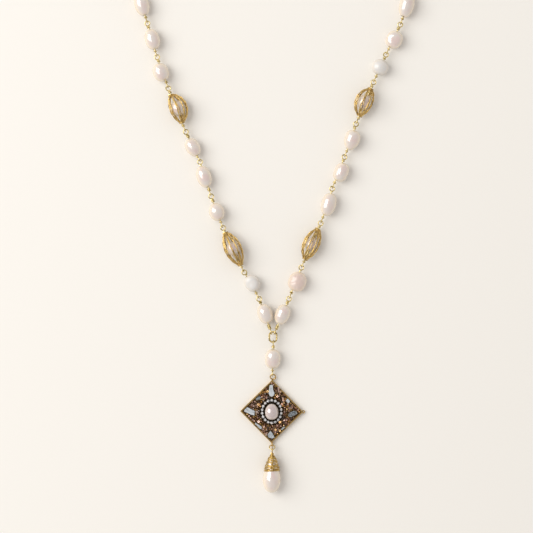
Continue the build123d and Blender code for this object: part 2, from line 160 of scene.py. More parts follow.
@dataclass(frozen=True)
class Nacre:
    """Polished freshwater nacre, grown in fine layers, greyish or pink in patches, under bright skins that
    mirror the lights.
    Its colour is painted ivory towards its edge, where the surface turns from the eye: a painted reflection
    of the pale paper, with the greyish core left where it faces the eye."""

    name: str
    core: str = "#DDD3CD"
    # painted reflection: the ivory that the colour turns to towards the rim, standing in for the bright paper
    # mirrored there
    edge: str = "#EADBC6"
    blush: str = "#DDC7C2"
    patch_mm: float = 4.0  # size of the colour patches
    ripple_mm: float = 2.2  # spacing of the growth ripples
    ripple_depth_mm: float = 0.03
    roughness: float = 0.2
    coat: float = 1.0
    coat_roughness: float = 0.06

    def build(self) -> bpy.types.Material:
        """Builds the material."""
        material, tree = blank_material(self.name)
        place = add(tree, "ShaderNodeTexCoord").outputs["Object"]
        patches = add(tree, "ShaderNodeTexNoise", {"Vector": place, "Scale": 1 / (self.patch_mm * MM),
                                                   "Detail": 2.0, "Roughness": 0.5})
        body = add(tree, "ShaderNodeValToRGB", {0: patches.outputs["Fac"]},
                   [(0.4, self.core), (0.66, self.blush)])
        # painted reflection: the colour is blended from the patches to the edge colour as the surface turns
        # from the eye, standing in for the pale paper mirrored at the rim
        turned = add(tree, "ShaderNodeLayerWeight", {"Blend": 0.5})
        outer = add(tree, "ShaderNodeMapRange", {"Value": turned.outputs["Facing"], "From Min": 0.06,
                                                 "From Max": 0.45})
        colour = add(tree, "ShaderNodeMix", {0: outer.outputs[0], 6: body.outputs[0],
                                             7: linear(self.edge)}, data_type="RGBA")
        ripples = add(tree, "ShaderNodeTexNoise", {"Vector": place, "Scale": 1 / (self.ripple_mm * MM),
                                                   "Detail": 2.0})
        relief = add(tree, "ShaderNodeBump", {"Height": ripples.outputs["Fac"], "Strength": 0.5,
                                              "Distance": self.ripple_depth_mm * MM})
        skin = add(tree, "ShaderNodeMapRange", {"Value": turned.outputs["Facing"], "From Min": 0.3,
                                                "From Max": 0.8, "To Min": self.coat,
                                                "To Max": self.coat * 0.3})
        shader = add(tree, "ShaderNodeBsdfPrincipled", {
            "Base Color": colour.outputs[2], "Normal": relief.outputs[0], "Coat Normal": relief.outputs[0],
            "Roughness": self.roughness, "IOR": 1.5, "Coat Weight": skin.outputs[0],
            "Coat Roughness": self.coat_roughness, "Coat IOR": 2.1, "Subsurface Weight": 0.12,
            "Subsurface Radius": (1.0, 0.8, 0.65), "Subsurface Scale": 0.8 * MM})
        close_material(tree, shader)
        return material


@dataclass(frozen=True)
class Brass:
    """Brass or gilt wire, drawn and worn: bright along the crests, with brown tarnish in patches, and
    blackened round one place where it was set with stones."""

    name: str
    bright: str
    tarnish: str
    patch_mm: float = 1.6  # size of a tarnished patch
    tarnished: float = 0.5  # share of the surface
    scratch_mm: float = 0.12  # spacing of drawing marks
    roughness: float = 0.24
    worn_roughness: float = 0.42
    blackened: tuple[float, float, float] | None = None  # x, y and radius of the blackened patch, metres
    fade: float = 0.3 * MM  # over which the black ends
    black: str = "#2E2417"

    def build(self) -> bpy.types.Material:
        """Builds the material."""
        material, tree = blank_material(self.name)
        place = add(tree, "ShaderNodeTexCoord").outputs["Object"]
        patches = add(tree, "ShaderNodeTexNoise", {"Vector": place, "Scale": 1 / (self.patch_mm * MM),
                                                   "Detail": 4.0, "Roughness": 0.6})
        spread = self.tarnished * 0.4
        worn = add(tree, "ShaderNodeMapRange", {"Value": patches.outputs["Fac"], "From Min": 0.68 - spread,
                                                "From Max": 0.3 + spread * 0.2, "To Min": 0.0,
                                                "To Max": 1.0})
        colour = add(tree, "ShaderNodeValToRGB", {0: worn.outputs[0]},
                     [(0.0, self.bright), (1.0, self.tarnish)]).outputs[0]
        if self.blackened is not None:
            x, y, reach = self.blackened
            flat = add(tree, "ShaderNodeVectorMath", {0: place, 1: (1.0, 1.0, 0.0)}, operation="MULTIPLY")
            away = add(tree, "ShaderNodeVectorMath", {0: flat.outputs[0], 1: (x, y, 0.0)},
                       operation="DISTANCE")
            inside = add(tree, "ShaderNodeMapRange", {"Value": away.outputs["Value"],
                                                      "From Min": reach + self.fade, "From Max": reach})
            colour = add(tree, "ShaderNodeMix", {0: inside.outputs[0], 6: colour, 7: linear(self.black)},
                         data_type="RGBA").outputs[2]
        rough = add(tree, "ShaderNodeMapRange", {"Value": worn.outputs[0], "To Min": self.roughness,
                                                 "To Max": self.worn_roughness})
        marks = add(tree, "ShaderNodeTexNoise", {"Vector": place, "Scale": 1 / (self.scratch_mm * MM),
                                                 "Detail": 2.0})
        relief = add(tree, "ShaderNodeBump", {"Height": marks.outputs["Fac"], "Strength": 0.25,
                                              "Distance": 0.01 * MM})
        shader = add(tree, "ShaderNodeBsdfPrincipled", {
            "Base Color": colour, "Normal": relief.outputs[0], "Roughness": rough.outputs[0],
            "Metallic": 1.0})
        close_material(tree, shader)
        return material


@dataclass(frozen=True)
class LinedGlass:
    """Cut seed beads of coloured glass with a metal lining: brown, copper, olive and amber beads, each
    with a sharp pinkish glint."""

    name: str
    colours: tuple[tuple[float, str], ...] = (
        (0.0, "#5C3A1C"), (0.14, "#8C5A34"), (0.3, "#B48668"), (0.44, "#7C5722"), (0.56, "#A47A2A"),
        (0.7, "#B5802A"), (0.82, "#CBA595"), (0.94, "#4A3322"))
    cloud_mm: float = 0.4  # size of the polish's patches

    def build(self) -> bpy.types.Material:
        """Builds the material."""
        material, tree = blank_material(self.name)
        tint = add(tree, "ShaderNodeAttribute", attribute_type="GEOMETRY", attribute_name="tint")
        colour = add(tree, "ShaderNodeValToRGB", {0: tint.outputs["Fac"]}, self.colours)
        colour.color_ramp.interpolation = "CONSTANT"
        place = add(tree, "ShaderNodeTexCoord").outputs["Object"]
        cloud = add(tree, "ShaderNodeTexNoise", {"Vector": place, "Scale": 1 / (self.cloud_mm * MM),
                                                 "Detail": 2.0})
        rough = add(tree, "ShaderNodeMapRange", {"Value": cloud.outputs["Fac"], "To Min": 0.08,
                                                 "To Max": 0.3})
        shader = add(tree, "ShaderNodeBsdfPrincipled", {
            "Base Color": colour.outputs[0], "Metallic": 0.7, "Roughness": rough.outputs[0], "IOR": 1.6,
            "Coat Weight": 1.0, "Coat Roughness": 0.06, "Coat IOR": 1.8})
        close_material(tree, shader)
        return material


@dataclass(frozen=True)
class CleavedStone:
    """Split grey jasper: matt, blue-grey, with darker specks in some chips and fine stripes in others, by
    the chips' own tone, streak and way attributes."""

    name: str
    pale: str = "#C2C8CD"
    mid: str = "#959CA2"
    dark: str = "#3E4347"
    glint: str = "#DCE0E4"
    speck_mm: float = 0.7
    relief_mm: float = 0.08

    def build(self) -> bpy.types.Material:
        """Builds the material."""
        material, tree = blank_material(self.name)
        place = add(tree, "ShaderNodeTexCoord").outputs["Object"]
        tone, streak, way = (add(tree, "ShaderNodeAttribute", attribute_type="GEOMETRY", attribute_name=name)
                             for name in ("tone", "streak", "way"))
        specks = add(tree, "ShaderNodeTexNoise", {"Vector": place, "Scale": 1 / (self.speck_mm * MM),
                                                  "Detail": 4.0, "Roughness": 0.7})
        rows = add(tree, "ShaderNodeTexNoise", {"Vector": way.outputs["Vector"], "Scale": 1.0, "Detail": 2.0,
                                                "Roughness": 0.6})
        grain = add(tree, "ShaderNodeMix", {0: streak.outputs["Fac"], 2: specks.outputs["Fac"],
                                            3: rows.outputs["Fac"]}, data_type="FLOAT")
        value = add(tree, "ShaderNodeMath", {0: grain.outputs[0], 1: tone.outputs["Fac"]}, operation="ADD")
        colour = add(tree, "ShaderNodeValToRGB", {0: value.outputs[0]},
                     [(0.36, self.dark), (0.48, self.mid), (0.62, self.pale), (0.9, self.glint)])
        relief = add(tree, "ShaderNodeBump", {"Height": grain.outputs[0], "Strength": 0.5,
                                              "Distance": self.relief_mm * MM})
        shader = add(tree, "ShaderNodeBsdfPrincipled", {
            "Base Color": colour.outputs[0], "Normal": relief.outputs[0], "Roughness": 0.38, "IOR": 1.54})
        close_material(tree, shader)
        return material


@dataclass(frozen=True)
class FoiledCrystal:
    """Cut crystal on silver foil, with painted flashes: the colour is painted white or dark in patches,
    standing in for facets that flash white or go dark.
    """

    name: str
    clear: str = "#FBFCFD"
    painted_dark_facet: str = "#8E949B"
    cloud_mm: float = 0.7  # size of the painted bright flashes and dark facets

    def build(self) -> bpy.types.Material:
        """Builds the material."""
        material, tree = blank_material(self.name)
        place = add(tree, "ShaderNodeTexCoord").outputs["Object"]
        cloud = add(tree, "ShaderNodeTexNoise", {"Vector": place, "Scale": 1 / (self.cloud_mm * MM),
                                                 "Detail": 1.0})
        # painted highlight and shade: white and grey patches stand in for facets flashing and going dark
        colour = add(tree, "ShaderNodeValToRGB", {0: cloud.outputs["Fac"]},
                     [(0.34, self.painted_dark_facet), (0.44, self.clear)])
        shader = add(tree, "ShaderNodeBsdfPrincipled", {
            "Base Color": colour.outputs[0], "Metallic": 0.6, "Roughness": 0.08, "IOR": 1.8,
            "Coat Weight": 1.0, "Coat Roughness": 0.03, "Coat IOR": 1.9})
        close_material(tree, shader)
        return material


@dataclass(frozen=True)
class Cloth:
    """Matt cloth or paper with a fine fibre: one colour with a slight mottle."""

    name: str
    light: str
    dark: str
    fibre_mm: float
    roughness: float = 0.9

    def build(self) -> bpy.types.Material:
        """Builds the material."""
        material, tree = blank_material(self.name)
        place = add(tree, "ShaderNodeTexCoord").outputs["Object"]
        fibre = add(tree, "ShaderNodeTexNoise", {"Vector": place, "Scale": 1 / (self.fibre_mm * MM),
                                                 "Detail": 3.0})
        colour = add(tree, "ShaderNodeValToRGB", {0: fibre.outputs["Fac"]},
                     [(0.3, self.dark), (0.7, self.light)])
        relief = add(tree, "ShaderNodeBump", {"Height": fibre.outputs["Fac"], "Strength": 0.1,
                                              "Distance": 0.02 * MM})
        shader = add(tree, "ShaderNodeBsdfPrincipled", {
            "Base Color": colour.outputs[0], "Normal": relief.outputs[0], "Roughness": self.roughness,
            "Specular IOR Level": 0.2})
        close_material(tree, shader)
        return material


@dataclass(frozen=True)
class Finishes:
    """Every material of the necklace."""

    ivory: bpy.types.Material
    blush: bpy.types.Material
    matt: bpy.types.Material
    centre: bpy.types.Material
    link_wire: bpy.types.Material
    antique: bpy.types.Material
    cap_wire: bpy.types.Material
    frame: bpy.types.Material
    seeds: bpy.types.Material
    stone: bpy.types.Material
    crystal: bpy.types.Material
    backing: bpy.types.Material


def make_finishes() -> Finishes:
    """Builds the necklace's materials."""
    low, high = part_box("centre_pearl")
    middle = (low + high) / 2
    halo = (middle.x, middle.y, 6.7 * MM)
    return Finishes(
        # each nacre's edge colour is a painted reflection of the pale paper, blended in towards the pearl's
        # rim
        ivory=Nacre("ivory_nacre").build(),
        blush=Nacre("blush_nacre", core="#DECBC2", edge="#EAD9C6", blush="#D8C0B7", roughness=0.36, coat=0.4,
                    coat_roughness=0.25, ripple_mm=1.3, ripple_depth_mm=0.09).build(),
        matt=Nacre("matt_nacre", core="#DFDBD7", edge="#E2DBD2", blush="#D9D7D6", roughness=0.42, coat=0.4,
                   coat_roughness=0.3).build(),
        centre=Nacre("grey_nacre", core="#C8BBB9", edge="#D3C5BC", blush="#BCABAB").build(),
        link_wire=Brass("gilt_wire", "#E8D59E", "#94803F", tarnished=0.45).build(),
        antique=Brass("antique_brass", "#D4B676", "#5B441E", tarnished=0.7, roughness=0.26).build(),
        cap_wire=Brass("cap_brass", "#C2A463", "#493517", tarnished=0.75, roughness=0.24).build(),
        frame=Brass("gilt_frame", "#C6A465", "#664B22", tarnished=0.65, patch_mm=2.5, blackened=halo).build(),
        seeds=LinedGlass("metal_lined_glass").build(),
        stone=CleavedStone("cleaved_jasper").build(),
        crystal=FoiledCrystal("foiled_crystal").build(),
        backing=Cloth("brown_felt", "#5F4527", "#3A2816", 0.3).build())


@dataclass
class Path:
    """Run of points that a wire follows; girth is how far out it winds about the run."""

    points: list[Vector]
    girth: list[float] = field(default_factory=list)
    closed: bool = False


def path_mesh(name: str, paths: Iterable[Path]) -> bpy.types.Mesh:
    """Makes one mesh of edges from paths, with their girths as a point attribute.

    Args:
        name: the mesh's name.
        paths: the runs, in metres.

    Returns:
        The mesh.
    """
    points: list[Vector] = []
    girths: list[float] = []
    edges: list[tuple[int, int]] = []
    for path in paths:
        first, count = len(points), len(path.points)
        points += path.points
        girths += path.girth or [0.0] * count
        edges += [(first + n, first + n + 1) for n in range(count - 1)]
        if path.closed:
            edges.append((first + count - 1, first))
    mesh = bpy.data.meshes.new(name)
    mesh.from_pydata(points, edges, [])
    mesh.attributes.new("girth", "FLOAT", "POINT").data.foreach_set("value", girths)
    return mesh


def start_tree(name: str, sizes: Mapping[str, str]) -> tuple[bpy.types.NodeTree, bpy.types.Node]:
    """Starts a geometry tree with its named inputs.

    Args:
        name: the tree's name.
        sizes: socket type of each input after the geometry.

    Returns:
        The tree and its input node.
    """
    tree = bpy.data.node_groups.new(name, "GeometryNodeTree")
    tree.is_modifier = True
    tree.interface.new_socket("Geometry", in_out="INPUT", socket_type="NodeSocketGeometry")
    for label, kind in sizes.items():
        tree.interface.new_socket(label, in_out="INPUT", socket_type=kind)
    tree.interface.new_socket("Geometry", in_out="OUTPUT", socket_type="NodeSocketGeometry")
    return tree, add(tree, "NodeGroupInput")


def end_tree(tree: bpy.types.NodeTree, made: bpy.types.NodeSocket, finish: bpy.types.NodeSocket,
             smooth_shaded: bool = True) -> None:
    """Ends a geometry tree: real geometry, shaded smooth or cut, with its material."""
    smooth = add(tree, "GeometryNodeSetShadeSmooth", {"Geometry": made, "Shade Smooth": smooth_shaded})
    real = add(tree, "GeometryNodeRealizeInstances", {"Geometry": smooth.outputs[0]})
    dressed = add(tree, "GeometryNodeSetMaterial", {"Geometry": real.outputs[0], "Material": finish})
    add(tree, "NodeGroupOutput", {"Geometry": dressed.outputs[0]})


def wire_tree() -> bpy.types.NodeTree:
    """Tree that sweeps a round wire along each run of edges, wound about it by the run's girth."""
    tree, given = start_tree("wound_wire", {
        "Wire Radius": "NodeSocketFloat", "Wire Sides": "NodeSocketInt", "Step": "NodeSocketFloat",
        "Pitch": "NodeSocketFloat", "Phase": "NodeSocketFloat", "Finish": "NodeSocketMaterial"})
    run = add(tree, "GeometryNodeMeshToCurve", {"Mesh": given.outputs["Geometry"]})
    even = add(tree, "GeometryNodeResampleCurve", {"Curve": run.outputs[0],
                                                   "Length": given.outputs["Step"]}, mode="LENGTH")
    along = add(tree, "GeometryNodeSplineParameter")
    turns = add(tree, "ShaderNodeMath", {0: along.outputs["Length"], 1: given.outputs["Pitch"]},
                operation="DIVIDE")
    angle = add(tree, "ShaderNodeMath", {0: turns.outputs[0], 1: 2 * math.pi, 2: given.outputs["Phase"]},
                operation="MULTIPLY_ADD")
    tangent, normal = add(tree, "GeometryNodeInputTangent"), add(tree, "GeometryNodeInputNormal")
    across = add(tree, "ShaderNodeVectorMath", {0: tangent.outputs[0], 1: normal.outputs[0]},
                 operation="CROSS_PRODUCT")
    girth = add(tree, "GeometryNodeInputNamedAttribute", {"Name": "girth"}, data_type="FLOAT")
    parts = []
    for operation, way in (("COSINE", normal), ("SINE", across)):
        share = add(tree, "ShaderNodeMath", {0: angle.outputs[0]}, operation=operation)
        reach = add(tree, "ShaderNodeMath", {0: share.outputs[0], 1: girth.outputs["Attribute"]},
                    operation="MULTIPLY")
        parts.append(add(tree, "ShaderNodeVectorMath", {0: way.outputs[0], "Scale": reach.outputs[0]},
                         operation="SCALE"))
    offset = add(tree, "ShaderNodeVectorMath", {0: parts[0].outputs[0], 1: parts[1].outputs[0]},
                 operation="ADD")
    wound = add(tree, "GeometryNodeSetPosition", {"Geometry": even.outputs[0], "Offset": offset.outputs[0]})
    round_wire = add(tree, "GeometryNodeCurvePrimitiveCircle", {
        "Resolution": given.outputs["Wire Sides"], "Radius": given.outputs["Wire Radius"]}, mode="RADIUS")
    swept = add(tree, "GeometryNodeCurveToMesh", {
        "Curve": wound.outputs[0], "Profile Curve": round_wire.outputs[0], "Fill Caps": True})
    end_tree(tree, swept.outputs[0], given.outputs["Finish"])
    return tree


def bead_tree() -> bpy.types.NodeTree:
    """Tree that sets a round bead, or a short tube, at each point, by the points' own attributes."""
    tree, given = start_tree("sewn_beads", {
        "Bead Diameter": "NodeSocketFloat", "Bead Hole": "NodeSocketFloat",
        "Tube Diameter": "NodeSocketFloat", "Tube Length": "NodeSocketFloat",
        "Finish": "NodeSocketMaterial"})
    round_sides, wall_sides, tube_sides, stretch = 9, 6, 8, (1.0, 1.0, 1.5)
    rings = []
    for operation, sides in (("ADD", round_sides), ("SUBTRACT", wall_sides)):
        both = add(tree, "ShaderNodeMath", {0: given.outputs["Bead Diameter"],
                                            1: given.outputs["Bead Hole"]}, operation=operation)
        radius = add(tree, "ShaderNodeMath", {0: both.outputs[0], 1: 0.25}, operation="MULTIPLY")
        rings.append(add(tree, "GeometryNodeCurvePrimitiveCircle", {
            "Resolution": sides, "Radius": radius.outputs[0]}, mode="RADIUS"))
    ring = add(tree, "GeometryNodeCurveToMesh", {"Curve": rings[0].outputs[0],
                                                 "Profile Curve": rings[1].outputs[0]})
    bead = add(tree, "GeometryNodeTransform", {"Geometry": ring.outputs[0], "Scale": stretch})
    half = add(tree, "ShaderNodeMath", {0: given.outputs["Tube Length"], 1: 0.5}, operation="MULTIPLY")
    far = add(tree, "ShaderNodeCombineXYZ", {"Z": half.outputs[0]})
    back = add(tree, "ShaderNodeVectorMath", {0: far.outputs[0], "Scale": -1.0}, operation="SCALE")
    line = add(tree, "GeometryNodeCurvePrimitiveLine", {"Start": back.outputs[0], "End": far.outputs[0]},
               mode="POINTS")
    tube_radius = add(tree, "ShaderNodeMath", {0: given.outputs["Tube Diameter"], 1: 0.5},
                      operation="MULTIPLY")
    tube_section = add(tree, "GeometryNodeCurvePrimitiveCircle", {
        "Resolution": tube_sides, "Radius": tube_radius.outputs[0]}, mode="RADIUS")
    tube = add(tree, "GeometryNodeCurveToMesh", {"Curve": line.outputs[0],
                                                 "Profile Curve": tube_section.outputs[0],
                                                 "Fill Caps": True})
    kinds = add(tree, "GeometryNodeGeometryToInstance")
    tree.links.new(tube.outputs[0], kinds.inputs[0])
    tree.links.new(bead.outputs[0], kinds.inputs[0])
    kind = add(tree, "GeometryNodeInputNamedAttribute", {"Name": "kind"}, data_type="INT")
    size = add(tree, "GeometryNodeInputNamedAttribute", {"Name": "size"}, data_type="FLOAT")
    lie = add(tree, "GeometryNodeInputNamedAttribute", {"Name": "lie"}, data_type="FLOAT_VECTOR")
    way = add(tree, "FunctionNodeAlignRotationToVector", {"Vector": lie.outputs["Attribute"]}, axis="Z")
    placed = add(tree, "GeometryNodeInstanceOnPoints", {
        "Points": given.outputs["Geometry"], "Instance": kinds.outputs[0], "Pick Instance": True,
        "Instance Index": kind.outputs["Attribute"], "Rotation": way.outputs[0],
        "Scale": size.outputs["Attribute"]})
    end_tree(tree, placed.outputs[0], given.outputs["Finish"], smooth_shaded=False)
    return tree


def grown(name: str, tree: bpy.types.NodeTree, base: bpy.types.Mesh,
          values: Mapping[str, Any]) -> bpy.types.Mesh:
    """Runs a geometry tree on a base mesh and keeps the result as a plain mesh.

    Args:
        name: name of the mesh that it makes.
        tree: the geometry tree.
        base: the points or edges that it grows on.
        values: the tree's inputs by their names.

    Returns:
        The plain mesh.
    """
    carrier = bpy.data.objects.new(name + "_base", base)
    bpy.context.scene.collection.objects.link(carrier)
    modifier = carrier.modifiers.new(tree.name, "NODES")
    modifier.node_group = tree
    for socket in tree.interface.items_tree:
        if socket.in_out == "INPUT" and socket.name in values:
            modifier[socket.identifier] = values[socket.name]
    depsgraph = bpy.context.evaluated_depsgraph_get()
    mesh = bpy.data.meshes.new_from_object(carrier.evaluated_get(depsgraph))
    mesh.name = name
    carrier.modifiers.clear()
    bpy.data.objects.remove(carrier)
    bpy.data.meshes.remove(base)
    return mesh


def merged(name: str, meshes: Iterable[bpy.types.Mesh]) -> bpy.types.Mesh:
    """Joins meshes into one and keeps their materials."""
    whole = bmesh.new()
    materials: list[bpy.types.Material] = []
    for mesh in meshes:
        materials += [material for material in mesh.materials if material not in materials]
        places = [materials.index(material) for material in mesh.materials]
        first = len(whole.faces)
        whole.from_mesh(mesh)
        whole.faces.ensure_lookup_table()
        for face in whole.faces[first:]:
            face.material_index = places[face.material_index] if places else 0
        bpy.data.meshes.remove(mesh)
    result = bpy.data.meshes.new(name)
    whole.to_mesh(result)
    whole.free()
    for material in materials:
        result.materials.append(material)
    return result


def place_piece(name: str, mesh: bpy.types.Mesh, stands_for: Iterable[str] = (),
                finish: bpy.types.Material | None = None) -> bpy.types.Object:
    """Puts a finished mesh in the scene as a piece of the necklace.

    Args:
        name: the piece's name.
        mesh: its mesh, in place.
        stands_for: CAD nodes that it replaces.
        finish: its material, if the mesh has none.

    Returns:
        The object.
    """
    piece = bpy.data.objects.new(name, mesh)
    bpy.context.scene.collection.objects.link(piece)
    if finish is not None:
        mesh.materials.clear()
        mesh.materials.append(finish)
    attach(piece, ROOT)
    nodes = list(stands_for)
    if nodes:
        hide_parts(*nodes)
    triangles = sum(len(face.vertices) - 2 for face in mesh.polygons)
    lowest = min(vertex.co.z for vertex in mesh.vertices) / MM
    LOG.info("%s: %d triangles, lowest at %.3f mm", name, triangles, lowest)
    return piece


def corners(obj: bpy.types.Object) -> np.ndarray:
    """Vertex places of an object's mesh as rows of x, y, z."""
    flat = np.empty(len(obj.data.vertices) * 3, np.float32)
    obj.data.vertices.foreach_get("co", flat)
    return flat.reshape(-1, 3).astype(float)


def loose_parts(obj: bpy.types.Object) -> list[np.ndarray]:
    """Splits a node's mesh into its separate solids.

    Args:
        obj: the CAD node.

    Returns:
        The vertex places of each solid.
    """
    places = corners(obj)
    _, joined = np.unique(np.round(places / (MM * 1e-3)).astype(np.int64), axis=0, return_inverse=True)
    joined = joined.reshape(-1)
    parent = list(range(int(joined.max()) + 1))

    def root(number: int) -> int:
        """Lowest vertex of the solid that this one belongs to."""
        while parent[number] != number:
            parent[number] = parent[parent[number]]
            number = parent[number]
        return number

    for face in obj.data.polygons:
        first, *others = (root(int(joined[v])) for v in face.vertices)
        for other in others:
            parent[root(other)] = root(first)
    owner = np.array([root(int(n)) for n in joined])
    return [places[owner == solid] for solid in np.unique(owner)]


@dataclass(frozen=True)
class Link:
    """Centres of a wire link's two loops, lower one first, and the side that the wire turns about."""

    foot: Vector
    head: Vector
    flat_head: bool = True

    @property
    def middle(self) -> Vector:
        """Halfway between the loops."""
        return (self.foot + self.head) / 2

    @property
    def frame(self) -> Matrix:
        """Axes as columns: along the link, to its left, and up from it."""
        along = (self.head - self.foot).normalized()
        left = Vector((0, 0, 1)).cross(along).normalized()
        return Matrix((along, left, along.cross(left))).transposed()

    def local(self, places: np.ndarray) -> np.ndarray:
        """Places in the link's own axes, from its middle."""
        return (places - np.array(self.middle)) @ np.array(self.frame)

    def world(self, along: float, left: float, up: float) -> Vector:
        """A place given in the link's own axes, in the row frame."""
        return self.middle + self.frame @ Vector((along, left, up))


@dataclass(frozen=True)
class LinkSizes:
    """Sizes of the wrapped links."""

    wire: float = 0.6 * MM
    loop: float = 2.4 * MM  # centre-line diameter
    neck_gap: float = 0.2 * MM
    pitch: float = 0.62 * MM
    sides: int = 10
    coil_steps: int = 14  # to a turn
    passes: int = 3  # that settle where a link's ends are

    @property
    def reach(self) -> float:
        """From a loop's centre to its outer edge."""
        return (self.loop + self.wire) / 2

    def read(self, places: np.ndarray, strand: bool = True) -> Link:
        """Finds a link's loops in the vertices of its solid.

        Args:
            places: the solid's vertex places.
            strand: whether its upper loop lies flat, as on the strand.

        Returns:
            The link.
        """
        middle = places.mean(axis=0)
        along = np.linalg.svd(places - middle, full_matrices=False)[2][0]
        for _ in range(self.passes):
            reach = (places - middle) @ along
            ends = []
            for sign in (-1, 1):
                side = reach * sign
                near = places[side > side.max() - 2 * self.reach]
                flat = near - middle - np.outer((near - middle) @ along, along)
                left = np.cross([0, 0, 1], along)
                left /= np.linalg.norm(left)
                up = np.cross(along, left)
                centre = sum(way * ((flat @ way).max() + (flat @ way).min()) / 2 for way in (left, up))
                upright = float(np.ptp(flat @ up)) > 4 * self.wire
                ends.append((middle + along * sign * (side.max() - self.reach) + centre, upright))
            low, high = ends[0][0], ends[1][0]
            along = (high - low) / np.linalg.norm(high - low)
            middle = (low + high) / 2
        if not strand:
            low, high = sorted((low, high), key=lambda end: end[1])
            return Link(Vector(low), Vector(high), False)
        if not ends[0][1]:
            low, high = high, low
        return Link(Vector(low), Vector(high))


def circle(centre: Vector, across: Vector, up: Vector, radius: float, count: int = 28) -> Path:
    """Closed round path.

    Args:
        centre: its centre.
        across: one way in its plane.
        up: the other way.
        radius: its radius.
        count: how many points.

    Returns:
        The path.
    """
    turns = (2 * math.pi * n / count for n in range(count))
    return Path([centre + radius * (math.cos(t) * across + math.sin(t) * up) for t in turns], closed=True)


def straight(start: Vector, end: Vector, girth: float = 0.0, count: int = 6) -> Path:
    """Straight path with one girth all along."""
    return Path([start.lerp(end, n / (count - 1)) for n in range(count)], [girth] * count)


@dataclass
class WrappedLinks:
    """The wire links of one node: two loops, the core between them, and a wound neck beside each bead."""

    node: str
    links: list[Link]
    spans: list[tuple[float, float]]  # where each link's bead starts and ends, from the link's middle
    tree: bpy.types.NodeTree
    finish: bpy.types.Material
    sizes: LinkSizes = LinkSizes()

    def build(self) -> bpy.types.Object:
        """Builds the links as one piece."""
        plain: list[Path] = []
        wound: list[Path] = []
        radius, wire = self.sizes.loop / 2, self.sizes.wire
        for link, (start, end) in zip(self.links, self.spans):
            along, left, up = (Vector(axis) for axis in link.frame.transposed())
            half = (link.head - link.foot).length / 2
            plain.append(circle(link.foot, along, up, radius))
            plain.append(circle(link.head, along, left if link.flat_head else up, radius))
            plain.append(straight(link.world(radius - half, 0, 0), link.world(half - radius, 0, 0)))
            for low, high in ((radius - half + wire / 2, start - self.sizes.neck_gap - wire / 2),
                              (end + self.sizes.neck_gap + wire / 2, half - radius - wire / 2)):
                wound.append(straight(link.world(low, 0, 0), link.world(high, 0, 0), wire))
        values = {"Wire Radius": wire / 2, "Wire Sides": self.sizes.sides, "Pitch": self.sizes.pitch,
                  "Phase": 0.0, "Finish": self.finish}
        rods = grown(self.node + "_rods", self.tree, path_mesh("rods", plain), values | {"Step": ROD_STEP})
        coils = grown(self.node + "_coils", self.tree, path_mesh("coils", wound),
                      values | {"Step": self.sizes.pitch / self.sizes.coil_steps})
        return place_piece(self.node + "_wound", merged(self.node + "_wound", (rods, coils)),
                           [self.node])


